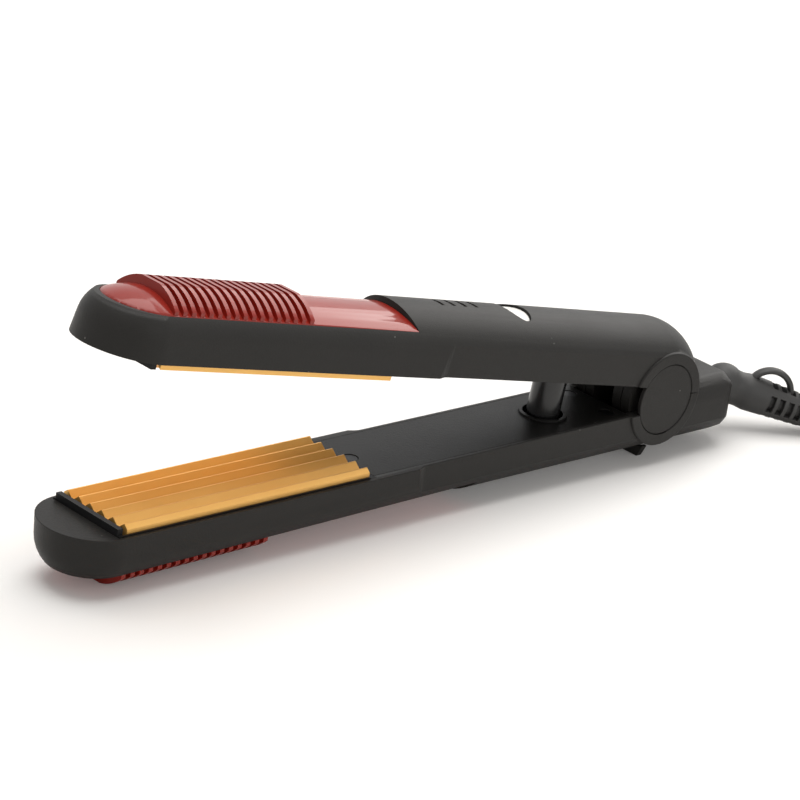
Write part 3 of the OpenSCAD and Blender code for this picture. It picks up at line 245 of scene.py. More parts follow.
def work_out(tree, operation, first, second):
    """The output of a Math node whose two inputs are sockets or numbers."""
    node = add_node(tree, "Math", operation=operation)
    for socket, value in zip(node.inputs, (first, second)):
        if isinstance(value, float):
            socket.default_value = value
        else:
            tree.links.new(value, socket)
    return node.outputs[0]


print("node helpers ready")

# %% [markdown]
# A studio shot of a dark object stands on white. The table is a wide plane. It could be lit
# until it clips to white, but then its shadow would go too, so a little of its own glow
# is mixed in for camera rays only.
# %% Table
TABLE_WIDTH = 6
TABLE_WHITE = (0.93, 0.925, 0.915, 1)
GLOW_STRENGTH = 1.2
GLOW_SHARE = 0.06

bpy.ops.mesh.primitive_plane_add(size=TABLE_WIDTH, location=(0, 0, 0))
table = bpy.context.object
table.name = "table"

table_finish = bpy.data.materials.new("white table")
table_finish.use_nodes = True
tree = table_finish.node_tree
shader = tree.nodes["Principled BSDF"]
shader.inputs["Base Color"].default_value = TABLE_WHITE
shader.inputs["Roughness"].default_value = 0.7
shader.inputs["Specular IOR Level"].default_value = 0.05
glow = add_node(tree, "Emission", Strength=GLOW_STRENGTH)
rays = add_node(tree, "LightPath")
share = work_out(tree, "MULTIPLY", rays.outputs["Is Camera Ray"], GLOW_SHARE)
blend = add_node(tree, "MixShader", {"Fac": share, 1: shader.outputs[0], 2: glow.outputs[0]})
tree.links.new(blend.outputs[0], tree.nodes["Material Output"].inputs["Surface"])
table.data.materials.append(table_finish)
print("the table is", table.dimensions.x, "m wide")

# %% [markdown]
# Three large soft lamps stand in for a light tent: the main one overhead, a weak one at the near side
# and one behind the hinge, whose reflection runs along the red guards.
# %% Lamps
WARM_WHITE = (1, 0.985, 0.965)
WARMER_WHITE = (1, 0.975, 0.94)


def soft_lamp(name, place, aim, width, watts, tint):
    bpy.ops.object.light_add(type="AREA", location=place)
    lamp = bpy.context.object
    lamp.name = name
    lamp.rotation_euler = (Vector(aim) - Vector(place)).to_track_quat("-Z", "Y").to_euler()
    lamp.data.size = width
    lamp.data.energy = watts
    lamp.data.color = tint


soft_lamp("overhead lamp", (0.05, 0.18, 1.25), (0, 0, 0), width=1.2, watts=15, tint=WARM_WHITE)
soft_lamp("side lamp", (0.2, -1.25, 0.6), (0.02, 0, 0.03), width=0.7, watts=2.4, tint=WARM_WHITE)
soft_lamp("back lamp", (1.15, 0.3, 0.8), (0.05, 0, 0.03), width=0.9, watts=6.5, tint=WARMER_WHITE)
print("three lamps")

# %% [markdown]
# The world adds a warm fill from all round. As plain white it would wash the dark plastic out,
# so it is dimmed, and only the camera, gloss and glass still see it white, as the tent's walls.
# %% World
FILL_COLOUR = (1, 0.96, 0.92, 1)
FILL_STRENGTH = 0.42

world = bpy.data.worlds.new("light tent")
scene.world = world
world.use_nodes = True
tree = world.node_tree
fill = tree.nodes["Background"]
fill.inputs["Color"].default_value = FILL_COLOUR
fill.inputs["Strength"].default_value = FILL_STRENGTH
white = add_node(tree, "Background", Color=(1, 1, 1, 1))
rays = add_node(tree, "LightPath")
camera_or_gloss = work_out(tree, "MAXIMUM", rays.outputs["Is Camera Ray"], rays.outputs["Is Glossy Ray"])
seen = work_out(tree, "MAXIMUM", camera_or_gloss, rays.outputs["Is Transmission Ray"])
blend = add_node(tree, "MixShader", {"Fac": seen, 1: fill.outputs[0], 2: white.outputs[0]})
tree.links.new(blend.outputs[0], tree.nodes["World Output"].inputs["Surface"])
scene.view_settings.view_transform = "Standard"
print("world fill of", FILL_STRENGTH)

# %% [markdown]
# ## Shared effects
# Three effects come back in many finishes: the fine grain of a mould, the streaks of a brushed
# or rolled metal, and stray dust. Each is a node group, built once and placed with its own numbers.
# All three read Object coordinates, so that a pattern keeps its real size on every piece.
# %% A helper for node groups
def new_group(name, inputs, outputs):
    group = bpy.data.node_groups.new(name, "ShaderNodeTree")
    for label, kind, value in inputs:
        socket = group.interface.new_socket(label, in_out="INPUT", socket_type=kind)
        socket.default_value = value
    for label in outputs:
        group.interface.new_socket(label, in_out="OUTPUT", socket_type="NodeSocketFloat")
    return group, group.nodes.new("NodeGroupInput"), group.nodes.new("NodeGroupOutput")


print("group helper ready")

# %% [markdown]
# Grain puts out two noises: a fine one for bump, and broad soft patches for colour and gloss.
# %% Mould grain
grain_group, grain_in, grain_out = new_group(
    "mould grain",
    [("Size", "NodeSocketFloat", 2500.0), ("Patches", "NodeSocketFloat", 40.0)],
    ["Height", "Patch"],
)
place = add_node(grain_group, "TexCoord")
fine = add_node(
    grain_group, "TexNoise",
    {"Vector": place.outputs["Object"], "Scale": grain_in.outputs["Size"]}, Detail=3.0, Roughness=0.6,
)
broad = add_node(
    grain_group, "TexNoise",
    {"Vector": place.outputs["Object"], "Scale": grain_in.outputs["Patches"]}, Detail=2.0,
)
grain_group.links.new(fine.outputs["Fac"], grain_out.inputs["Height"])
grain_group.links.new(broad.outputs["Fac"], grain_out.inputs["Patch"])
print(grain_group.name)

# %% [markdown]
# Streaks are the same noise, stretched: its scale is small along the metal and large across.
# %% Streaks
streak_group, streak_in, streak_out = new_group(
    "streaks",
    [("Along", "NodeSocketVector", (30.0, 2500.0, 2500.0)), ("Turn", "NodeSocketVector", (0.0, 0.0, 0.0))],
    ["Streak", "Cloud"],
)
place = add_node(streak_group, "TexCoord")
turned = add_node(
    streak_group, "Mapping", {"Vector": place.outputs["Object"], "Rotation": streak_in.outputs["Turn"]},
)
stretched = add_node(
    streak_group, "VectorMath",
    {0: turned.outputs["Vector"], 1: streak_in.outputs["Along"]}, operation="MULTIPLY",
)
lines = add_node(streak_group, "TexNoise", {"Vector": stretched.outputs[0]}, Scale=1.0, Detail=2.0)
cloud = add_node(streak_group, "TexNoise", {"Vector": turned.outputs["Vector"]}, Scale=60.0, Detail=3.0)
streak_group.links.new(lines.outputs["Fac"], streak_out.inputs["Streak"])
streak_group.links.new(cloud.outputs["Fac"], streak_out.inputs["Cloud"])
print(streak_group.name)

# %% [markdown]
# Dust is a scatter of cells. A speck is the small middle of a cell, and only one cell in five has one.
# %% Dust
CELLS_WITHOUT_DUST = 0.8

dust_group, dust_in, dust_out = new_group(
    "dust",
    [("Spacing", "NodeSocketFloat", 260.0), ("Amount", "NodeSocketFloat", 0.05)],
    ["Speck"],
)
place = add_node(dust_group, "TexCoord")
specks = add_node(
    dust_group, "TexVoronoi",
    {"Vector": place.outputs["Object"], "Scale": dust_in.outputs["Spacing"]}, Randomness=1.0,
)
near = work_out(dust_group, "LESS_THAN", specks.outputs["Distance"], dust_in.outputs["Amount"])
cell_colour = add_node(dust_group, "SeparateColor", {"Color": specks.outputs["Color"]})
chosen = work_out(dust_group, "GREATER_THAN", cell_colour.outputs["Red"], CELLS_WITHOUT_DUST)
speck = work_out(dust_group, "MULTIPLY", near, chosen)
dust_group.links.new(speck, dust_out.inputs["Speck"])
print(dust_group.name)

# %% [markdown]
# ## Finishes
# Every finish starts from a Principled shader. Plain numbers go on the shader's own sockets;
# only what changes over the surface is wired in. A small set of helpers keeps each recipe short.
# %% Helpers for finishes
def new_finish(name, roughness=0.5, metallic=0.0, specular=0.5, coat=0.0, coat_roughness=0.1):
    finish = bpy.data.materials.new(name)
    finish.use_nodes = True
    shader = finish.node_tree.nodes["Principled BSDF"]
    shader.inputs["Roughness"].default_value = roughness
    shader.inputs["Metallic"].default_value = metallic
    shader.inputs["Specular IOR Level"].default_value = specular
    shader.inputs["Coat Weight"].default_value = coat
    shader.inputs["Coat Roughness"].default_value = coat_roughness
    return finish, finish.node_tree, shader


def placed_group(tree, group, **values):
    node = tree.nodes.new("ShaderNodeGroup")
    node.node_tree = group
    for name, value in values.items():
        node.inputs[name].default_value = value
    return node


def colour_between(tree, mask, dark, light):
    """A colour from dark to light that follows a mask."""
    mix = add_node(tree, "Mix", {"Factor": mask}, data_type="RGBA")
    mix.inputs["A"].default_value = (*dark, 1)
    mix.inputs["B"].default_value = (*light, 1)
    return mix.outputs["Result"]


def vary_colour(tree, shader, mask, dark, light):
    tree.links.new(colour_between(tree, mask, dark, light), shader.inputs["Base Color"])


def vary_roughness(tree, shader, mask, low, high):
    spread = add_node(tree, "MapRange", {"Value": mask}, To_Min=low, To_Max=high)
    tree.links.new(spread.outputs["Result"], shader.inputs["Roughness"])


def add_bump(tree, shader, height, strength, distance):
    bump = add_node(tree, "Bump", {"Height": height}, Strength=strength, Distance=distance)
    tree.links.new(bump.outputs["Normal"], shader.inputs["Normal"])


print("finish helpers ready")

# %% [markdown]
# The arms are moulded in a charcoal plastic with a soft-touch skin: matt, faintly warm,
# with a fine even grain, cloudy patches from handling and a few specks of dust.
# Black paint alone would look flat; the grain is what spreads the lamp's light down the flank.
# %% Charcoal soft-touch plastic
GRAIN_DEPTH = 0.2 * MM
DUST_COLOUR = (0.13, 0.125, 0.117, 1)


def soft_touch(name, dark, light, roughness, specular):
    finish, tree, shader = new_finish(name, roughness=roughness, specular=specular)
    grain = placed_group(tree, grain_group, Size=1700.0, Patches=28.0)
    dust = placed_group(tree, dust_group, Spacing=210.0, Amount=0.05)
    patchy = colour_between(tree, grain.outputs["Patch"], dark, light)
    dusty = add_node(tree, "Mix", {"Factor": dust.outputs["Speck"], "A": patchy}, data_type="RGBA")
    dusty.inputs["B"].default_value = DUST_COLOUR
    tree.links.new(dusty.outputs["Result"], shader.inputs["Base Color"])
    vary_roughness(tree, shader, grain.outputs["Patch"], roughness - 0.07, roughness + 0.09)
    add_bump(tree, shader, grain.outputs["Height"], 0.4, GRAIN_DEPTH)
    return finish


charcoal = soft_touch(
    "charcoal soft touch", (0.0145, 0.0138, 0.0128), (0.022, 0.021, 0.0195), roughness=0.46, specular=0.16,
)
cover_charcoal = soft_touch(
    "charcoal inner cover", (0.008, 0.0077, 0.0072), (0.012, 0.0115, 0.0108), roughness=0.34, specular=0.1,
)
print(charcoal.name, "and", cover_charcoal.name)

# %% [markdown]
# The heat guards are a red heat-proof plastic with a clear gloss. A coat over a slightly rough base
# gives the sharp highlight on top of a soft one, as lacquered plastic has.
# %% Red gloss plastic
guard_red, tree, shader = new_finish(
    "red gloss", roughness=0.4, specular=0.15, coat=0.65, coat_roughness=0.08,
)
grain = placed_group(tree, grain_group, Size=900.0, Patches=35.0)
vary_colour(tree, shader, grain.outputs["Patch"], (0.22, 0.012, 0.006), (0.28, 0.017, 0.009))
vary_roughness(tree, shader, grain.outputs["Patch"], 0.34, 0.46)
add_bump(tree, shader, grain.outputs["Height"], 0.04, GRAIN_DEPTH)
shader.inputs["Coat Tint"].default_value = (1, 0.93, 0.89, 1)
shader.inputs["Coat IOR"].default_value = 1.38
print(guard_red.name)

# %% [markdown]
# The crimping plates are aluminium with a gold coating. A full metal would turn black wherever
# it faces the dark arm, so the coating is half metal and keeps its own colour there. Streaks run
# along the ridges, the way the bar was drawn and polished, and the tint clouds slightly from the heat.
# %% Gold plates
STREAK_DEPTH = 0.1 * MM


def gold(name, turn):
    finish, tree, shader = new_finish(name, roughness=0.34, metallic=0.5)
    streaks = placed_group(tree, streak_group, Along=(18.0, 1800.0, 1800.0), Turn=(0.0, turn, 0.0))
    vary_colour(tree, shader, streaks.outputs["Cloud"], (0.8, 0.43, 0.105), (0.86, 0.5, 0.14))
    vary_roughness(tree, shader, streaks.outputs["Streak"], 0.24, 0.42)
    add_bump(tree, shader, streaks.outputs["Streak"], 0.08, STREAK_DEPTH)
    return finish


lower_gold = gold("gold of the lower plate", 0.0)
upper_gold = gold("gold of the upper plate", -OPEN_ANGLE)
print(lower_gold.name, "and", upper_gold.name)

# %% [markdown]
# Most other pieces are moulded or pressed in one even material, so one recipe serves them all:
# patches for colour and gloss, and grain for bump. A row gives the dark and the light colour,
# the roughness, how fine the grain is, how fine the patches are and how strong the bump.
# First the blacks. The plate carriers and the spring post are a hard plastic, and the post shines.
# The strain relief, the cord and its plug are a softer black with a satin skin.
# %% Black plastics
def moulded(name, dark, light, roughness, size, patches, depth, specular=0.5, smoother=0.08):
    """A finish with cloudy colour and gloss. Smoother is how far its gloss falls below roughness."""
    finish, tree, shader = new_finish(name, roughness=roughness, specular=specular)
    grain = placed_group(tree, grain_group, Size=size, Patches=patches)
    vary_colour(tree, shader, grain.outputs["Patch"], dark, light)
    vary_roughness(tree, shader, grain.outputs["Patch"], roughness - smoother, roughness + 0.08)
    add_bump(tree, shader, grain.outputs["Height"], depth, GRAIN_DEPTH)
    return finish


def black_plastic(name, dark, light, roughness, size, depth, specular=0.5):
    return moulded(name, dark, light, roughness, size, 45.0, depth, specular, smoother=0.06)


gloss_black = black_plastic(
    "glossy black plastic", (0.004, 0.004, 0.0043), (0.008, 0.008, 0.0084), 0.24, 1500.0, 0.04,
)
tray_black = black_plastic(
    "tray plastic", (0.006, 0.006, 0.0065), (0.011, 0.011, 0.0115), 0.45, 1500.0, 0.08, specular=0.15,
)
rubber_black = black_plastic(
    "rubber", (0.014, 0.0136, 0.0128), (0.021, 0.0203, 0.019), 0.52, 2600.0, 0.15,
)
cord_black = black_plastic(
    "cord sheath", (0.012, 0.0117, 0.011), (0.019, 0.0184, 0.0175), 0.46, 1800.0, 0.08,
)
component_black = black_plastic(
    "component resin", (0.02, 0.02, 0.022), (0.035, 0.035, 0.036), 0.4, 3000.0, 0.1,
)
print("five black plastics")

# %% [markdown]
# The same recipe gives the small inner finishes: fired ceramic, amber heat-proof film, nylon,
# wire sleeves, the circuit board and the pale button.
# %% Ceramic, film, nylon, wire, board and button
ceramic = moulded("fired ceramic", (0.74, 0.71, 0.64), (0.86, 0.83, 0.77), 0.6, 5000.0, 120.0, 0.2)
film = moulded("amber film", (0.42, 0.16, 0.03), (0.55, 0.24, 0.05), 0.22, 700.0, 160.0, 0.05)
nylon = moulded("nylon", (0.66, 0.64, 0.58), (0.78, 0.76, 0.7), 0.45, 2600.0, 60.0, 0.1)
wire_sleeve = moulded("wire sleeve", (0.6, 0.6, 0.57), (0.74, 0.74, 0.7), 0.42, 2200.0, 90.0, 0.08)
board = moulded("circuit board", (0.012, 0.09, 0.03), (0.03, 0.16, 0.055), 0.35, 1200.0, 420.0, 0.12)
button_white = moulded(
    "off-white plastic", (0.72, 0.71, 0.68), (0.8, 0.79, 0.76), 0.34, 1800.0, 50.0, 0.05,
)
print("six inner finishes")

# %% [markdown]
# The metals share the streak group: bright steel for pins and springs, blackened steel
# for the screws, and brass for the bushes, slip rings and brushes.
# %% Metals
def metal(name, dark, light, roughness, along):
    finish, tree, shader = new_finish(name, roughness=roughness, metallic=1.0)
    streaks = placed_group(tree, streak_group, Along=along)
    vary_colour(tree, shader, streaks.outputs["Cloud"], dark, light)
    vary_roughness(tree, shader, streaks.outputs["Streak"], roughness - 0.08, roughness + 0.12)
    add_bump(tree, shader, streaks.outputs["Streak"], 0.06, STREAK_DEPTH)
    return finish


steel = metal("bright steel", (0.5, 0.5, 0.51), (0.68, 0.68, 0.69), 0.3, (900.0, 900.0, 4000.0))
dark_steel = metal(
    "blackened steel", (0.02, 0.02, 0.021), (0.035, 0.035, 0.036), 0.42, (900.0, 900.0, 4000.0),
)
brass = metal("brass", (0.55, 0.38, 0.13), (0.72, 0.52, 0.22), 0.28, (900.0, 3500.0, 900.0))
print(steel.name, dark_steel.name, brass.name, sep=", ")

# %% [markdown]
# The lamps are clear red resin and the lens over them is smoked. Both are so small that a tinted
# gloss under a thin coat does for glass, without the noise that real refraction brings.
# %% Lamps and lens
lamp_red, tree, shader = new_finish("red lamp", roughness=0.2, coat=0.5)
grain = placed_group(tree, grain_group, Size=900.0, Patches=300.0)
vary_colour(tree, shader, grain.outputs["Patch"], (0.5, 0.05, 0.03), (0.7, 0.1, 0.06))
lens, tree, shader = new_finish("smoked lens", roughness=0.22, coat=0.3)
grain = placed_group(tree, grain_group, Size=1500.0, Patches=180.0)
vary_colour(tree, shader, grain.outputs["Patch"], (0.16, 0.07, 0.06), (0.26, 0.13, 0.11))
add_bump(tree, shader, grain.outputs["Height"], 0.05, GRAIN_DEPTH)
print(lamp_red.name, "and", lens.name)

# %% [markdown]
# ## Copies with softened edges
# A solid's mesh is loose triangles with knife-sharp edges. Plastic comes out of its mould with
# rounded ones, and it is the rounding that catches the light. So a seen solid is copied, its doubled
# points are merged, its flat faces are joined, and only the edges that a hand would feel are bevelled.
# %% Helpers for editing
def deselect_all():
    if bpy.context.mode != "OBJECT":
        bpy.ops.object.mode_set(mode="OBJECT")
    bpy.ops.object.select_all(action="DESELECT")


def pick(piece):
    deselect_all()
    piece.select_set(True)
    bpy.context.view_layer.objects.active = piece


def start_editing(piece, what="EDGE"):
    pick(piece)
    bpy.ops.object.mode_set(mode="EDIT")
    bpy.ops.mesh.select_mode(type=what)
    bpy.ops.mesh.select_all(action="DESELECT")
    return bmesh.from_edit_mesh(piece.data)


def stop_editing():
    bpy.ops.object.mode_set(mode="OBJECT")


print("editing helpers ready")

# %% [markdown]
# Three steps turn a node into a piece: a merged copy, bevels on chosen edges, and shading
# that is smooth over a curve and sharp at an edge, weighted so that flat faces stay flat.
# %% Helpers for modelling
MERGE_DISTANCE = 0.002 * MM
FLAT_ANGLE = math.radians(0.3)


def merged_copy(node, name):
    """A copy of a CAD node with its doubled points merged and its flat faces joined."""
    piece = bpy.data.objects.new(name, nodes[node].data.copy())
    scene.collection.objects.link(piece)
    piece.data.materials.clear()
    start_editing(piece, "VERT")
    bpy.ops.mesh.select_all(action="SELECT")
    bpy.ops.mesh.remove_doubles(threshold=MERGE_DISTANCE)
    bpy.ops.mesh.dissolve_limited(angle_limit=FLAT_ANGLE)
    stop_editing()
    return piece


def bevel_edges(piece, wanted, width, segments):
    """Bevels the edges that wanted(edge) picks, and returns how many there were."""
    mesh = start_editing(piece)
    picked = 0
    for edge in mesh.edges:
        if len(edge.link_faces) == 2 and wanted(edge):
            edge.select_set(True)
            picked += 1
    bmesh.update_edit_mesh(piece.data)
    if picked:
        bpy.ops.mesh.bevel(offset=width, segments=segments, profile=0.5, affect="EDGES", clamp_overlap=True)
    stop_editing()
    return picked


def finish_piece(piece, body, finish, stands_for=(), smooth=35, even=True):
    """Smooths a piece, gives it its finish and hangs it on its body."""
    pick(piece)
    bpy.ops.object.transform_apply(location=True, rotation=True, scale=True)
    bpy.ops.object.shade_smooth_by_angle(angle=math.radians(smooth))
    if even:
        evener = piece.modifiers.new("even shading", "WEIGHTED_NORMAL")
        evener.keep_sharp = True
        bpy.ops.object.modifier_apply(modifier=evener.name)
    piece.data.materials.clear()
    piece.data.materials.append(finish)
    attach(piece, body)
    if stands_for:
        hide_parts(*stands_for)


print("modelling helpers ready")

# %% [markdown]
# ### The two housings
# The long rims are rounded by about a millimetre where they meet the flank, the ring round each
# side cap has a soft lip, and the openings in the crown have a fine edge. One bevel for all would
# eat the small edges or miss the large ones, so each kind of edge is found by its place and slope.
# A slope is read from a face's normal: its z is 0 on an upright wall and 1 on a level face.
# %% Which edges of a housing are rounded
RIM_DEPTH = 3.94 * MM
RIM_END_X = hinge.x - 10 * MM
NOSE_X = -132 * MM
RIM_REACH = 15 * MM
RING_RADIUS = 17 * MM
RING_SIDE = 16.9 * MM
CROWN_DEPTH = 12.5 * MM
SAME_PLANE = 0.02 * MM
SAME_CIRCLE = 0.05 * MM


def face_directions(edge, arm):
    return [arm["direction"](face.normal) for face in edge.link_faces]


def on_outer_rim(edge, arm):
    """The edge where the flat rim meets the outside of the arm."""
    places = [arm["place"](vertex.co) for vertex in edge.verts]
    if any(abs(place.z - RIM_DEPTH) > SAME_PLANE for place in places):
        return False
    if max(place.x for place in places) > RIM_END_X:
        return False
    flank = min(face_directions(edge, arm), key=lambda direction: abs(direction.z))
    where = (places[0] + places[1]) / 2
    outward = Vector((min(where.x - NOSE_X, 0), where.y, 0))
    return abs(flank.z) < 0.5 and flank.dot(outward) > 0 and outward.length > RIM_REACH


def on_ring_lip(edge):
    """The outer edge of the ring that stands out round a side cap."""
    for vertex in edge.verts:
        away = vertex.co - hinge
        off_round = abs(math.hypot(away.x, away.z) - RING_RADIUS)
        off_side = abs(abs(away.y) - RING_SIDE)
        if off_round > SAME_CIRCLE or off_side > SAME_PLANE:
            return False
    return True


def on_crown_opening(edge, arm):
    """The upper edge of the guard's seat, the lamp slots and the button's hole."""
    depths = [arm["place"](vertex.co).z for vertex in edge.verts]
    slopes = sorted(abs(direction.z) for direction in face_directions(edge, arm))
    return min(depths) > CROWN_DEPTH and slopes[0] < 0.02 and slopes[1] > 0.4


print("three kinds of edge")

# %% [markdown]
# Each housing gets its three bevels one after another, because each has its own width.
# %% Housings
LIP_ROUNDING = 0.65 * MM
RIM_ROUNDING = 1.1 * MM
OPENING_ROUNDING = 0.22 * MM


def housing(node, name, arm):
    piece = merged_copy(node, name)
    lips = bevel_edges(piece, on_ring_lip, LIP_ROUNDING, 4)
    rims = bevel_edges(piece, lambda edge: on_outer_rim(edge, arm), RIM_ROUNDING, 4)
    openings = bevel_edges(piece, lambda edge: on_crown_opening(edge, arm), OPENING_ROUNDING, 2)
    finish_piece(piece, arm["body"], charcoal, [node], smooth=50)
    print(f"{name}: {rims} rim edges, {lips} lip edges, {openings} opening edges")


housing("upper_housing", "upper_shell", upper_arm)
housing("lower_housing", "lower_shell", lower_arm)

# %% [markdown]
# ### The heat guards
# Each guard is a shallow dome with a row of thin ribs. The ribs' long edges are rounded,
# because a rib of gloss plastic shows as a pair of thin bright lines.
# %% Heat guards
RIB_ROUNDING = 0.38 * MM


def on_rib_edge(edge, arm):
    """The edge between a rib's upright side and its top."""
    directions = face_directions(edge, arm)
    sides = sorted(abs(direction.x) for direction in directions)
    return sides[1] > 0.98 and sides[0] < 0.5 and max(direction.z for direction in directions) > 0.3


def heat_guard(node, name, arm):
    piece = merged_copy(node, name)
    ribs = bevel_edges(piece, lambda edge: on_rib_edge(edge, arm), RIB_ROUNDING, 2)
    finish_piece(piece, arm["body"], guard_red, [node], smooth=40)
    print(f"{name}: {ribs} rib edges")


heat_guard("upper_heat_guard", "upper_guard", upper_arm)
heat_guard("lower_heat_guard", "lower_guard", lower_arm)

# %% [markdown]
# ### The crimping plates
# A crimping plate is a row of ridges. Their crests are polished slightly round, or they would cut hair.
# %% Crimping plates
LEAST_RIDGE = 20 * MM
CREST_ROUNDING = 0.3 * MM


def on_ridge(edge, arm):
    """A long edge between two slopes that both face the other plate."""
    ends = [arm["place"](vertex.co) for vertex in edge.verts]
    first, second = face_directions(edge, arm)
    long_enough = abs(ends[0].x - ends[1].x) > LEAST_RIDGE
    return long_enough and first.z < -0.3 and second.z < -0.3 and first.angle(second) > 0.5


def crimping_plate(node, name, arm, finish):
    piece = merged_copy(node, name)
    ridges = bevel_edges(piece, lambda edge: on_ridge(edge, arm), CREST_ROUNDING, 3)
    finish_piece(piece, arm["body"], finish, [node], smooth=30)
    print(f"{name}: {ridges} ridge lines")


crimping_plate("upper_crimp_plate", "upper_ridged_plate", upper_arm, upper_gold)
crimping_plate("lower_crimp_plate", "lower_ridged_plate", lower_arm, lower_gold)

# %% [markdown]
# ### The other moulded parts
# The carriers, covers, post, lock, button and caps are moulded parts with plain sharp edges
# in the solid. A small even rounding is all they need, so one function softens them
# and each takes one row: its node, name, body, finish and rounding in millimetres.
# %% Carriers, covers, post, lock, button and caps
def is_sharp(edge, least):
    return edge.calc_face_angle(0) > math.radians(least)


def softened(node, name, body, finish, width, segments=2, least=50):
    """A copy of a node with all its sharp edges rounded."""
    piece = merged_copy(node, name)
    rounded = bevel_edges(piece, lambda edge: is_sharp(edge, least), width * MM, segments)
    finish_piece(piece, body, finish, [node])
    print(f"{name}: {rounded} edges rounded")
    return piece


softened("upper_plate_carrier", "upper_plate_tray", "upper_arm", tray_black, 0.2)
softened("lower_plate_carrier", "lower_plate_tray", "lower_arm", tray_black, 0.2)
softened("upper_inner_cover", "upper_lining", "upper_arm", cover_charcoal, 0.25)
softened("lower_inner_cover", "lower_lining", "lower_arm", cover_charcoal, 0.25)
softened("spring_post", "post", "upper_arm", gloss_black, 0.3)
softened("lock_slider", "lock_tab", "lock", charcoal, 0.35)
softened("power_button", "button_cap", "button", button_white, 0.5, segments=3)
softened("hinge_cap_near", "near_cap", "lower_arm", charcoal, 0.3)
softened("hinge_cap_far", "far_cap", "lower_arm", charcoal, 0.3)
tie = softened("cord_tie", "cord_band", "cord", rubber_black, 0.3)

# %% [markdown]
# ### The strain relief
# The cord's rubber sleeve is one moulding: a ball that sits against the swivel, a slight waist,
# and a long cone cut by rows of slots so that it bends evenly. A lathe profile would give the cone
# but not the slots, so it is drawn standing up at the origin, ring after ring, by extruding
# and scaling one disc. Its outline is in millimetres.
# %% The relief's outline
BALL_RADIUS = 7.5
CONE_MIDDLE = 30
CONE_START_RADIUS = 7.2
CONE_MIDDLE_RADIUS = 5.8
CONE_END_RADIUS = 4.2
SLOT_START = 17
SLOT_PITCH = 3.6
SLOT_WIDTH = 2.1
SLOT_ROWS = 8


def cone_radius(along):
    """The cone narrows gently to its middle, then faster to its end."""
    if along < CONE_MIDDLE:
        return CONE_START_RADIUS - (CONE_START_RADIUS - CONE_MIDDLE_RADIUS) * along / CONE_MIDDLE
    past = (along - CONE_MIDDLE) / (RELIEF_END - CONE_MIDDLE)
    return CONE_MIDDLE_RADIUS - (CONE_MIDDLE_RADIUS - CONE_END_RADIUS) * past


ball_turns = [math.radians(turn) for turn in range(12, 121, 9)]
ball_rings = [(-BALL_RADIUS * math.cos(turn), BALL_RADIUS * math.sin(turn)) for turn in ball_turns]
waist = [(4.9, 6.33), (6, 6.26), (7.2, 6.38), (8.4, 6.6), (9.6, 6.72)]
plain = [(along, cone_radius(along)) for along in (11.5, 14, SLOT_START)]
slotted = []
for row in range(SLOT_ROWS):
    start = SLOT_START + row * SLOT_PITCH
    slotted += [(along, cone_radius(along)) for along in (start + SLOT_WIDTH, start + SLOT_PITCH)]
rounded_end = [(RELIEF_END - 0.5, 4.2), (RELIEF_END - 0.1, 4.0), (RELIEF_END, 3.6)]
relief_rings = ball_rings + waist + plain + slotted[:-1] + rounded_end
print(len(relief_rings), "rings")

# %% [markdown]
# The first ring is a filled disc. Each extrusion lifts it to the next ring, where it is scaled,
# and leaves a wall behind, so the sleeve grows as one closed skin.
# %% Turn the outline into a body
deselect_all()
along, radius = relief_rings[0]
bpy.ops.mesh.primitive_circle_add(
    vertices=48, radius=radius * MM, fill_type="NGON", location=(0, 0, along * MM),
)
relief = bpy.context.object
relief.name = "cord_relief"
pick(relief)
bpy.ops.object.transform_apply(location=True, rotation=True, scale=True)
bpy.ops.object.mode_set(mode="EDIT")
bpy.ops.mesh.select_all(action="SELECT")
for next_along, next_radius in relief_rings[1:]:
    bpy.ops.mesh.extrude_region_move(TRANSFORM_OT_translate={"value": (0, 0, (next_along - along) * MM)})
    grow = next_radius / radius
    bpy.ops.transform.resize(value=(grow, grow, 1), center_override=(0, 0, next_along * MM))
    along, radius = next_along, next_radius
bpy.ops.mesh.select_all(action="SELECT")
bpy.ops.mesh.normals_make_consistent(inside=False)
stop_editing()
print(len(relief.data.polygons), "faces")

# %% [markdown]
# Every row has four slots: above, below and at each side. Between them four solid ribs run
# along the sleeve. The slots' faces are picked by place and pushed inwards, which makes the walls
# in the same stroke. Then their mouths are rounded, and the sleeve is laid along the cord.
# %% Push the slots in and lay the sleeve
SLOT_DEPTH = 1.9
SLOT_SPREAD = 30
MOUTH_DEPTH = 0.3
MOUTH_ROUNDING = 0.15 * MM

mesh = start_editing(relief, "FACE")
pushed = 0
for face in mesh.faces:
    centre = face.calc_center_median() / MM
    row = (centre.z - SLOT_START) / SLOT_PITCH
    in_row = 0 < row < SLOT_ROWS and row % 1 < SLOT_WIDTH / SLOT_PITCH
    turn = math.degrees(math.atan2(centre.y, centre.x)) % 90
    if in_row and (turn < SLOT_SPREAD or turn > 90 - SLOT_SPREAD) and abs(face.normal.z) < 0.5:
        face.select_set(True)
        pushed += 1
bmesh.update_edit_mesh(relief.data)
bpy.ops.mesh.extrude_region_shrink_fatten(TRANSFORM_OT_shrink_fatten={"value": -SLOT_DEPTH * MM})
stop_editing()


def on_slot_mouth(edge):
    middle = (edge.verts[0].co + edge.verts[1].co) / (2 * MM)
    return is_sharp(edge, 60) and middle.xy.length > cone_radius(middle.z) - MOUTH_DEPTH


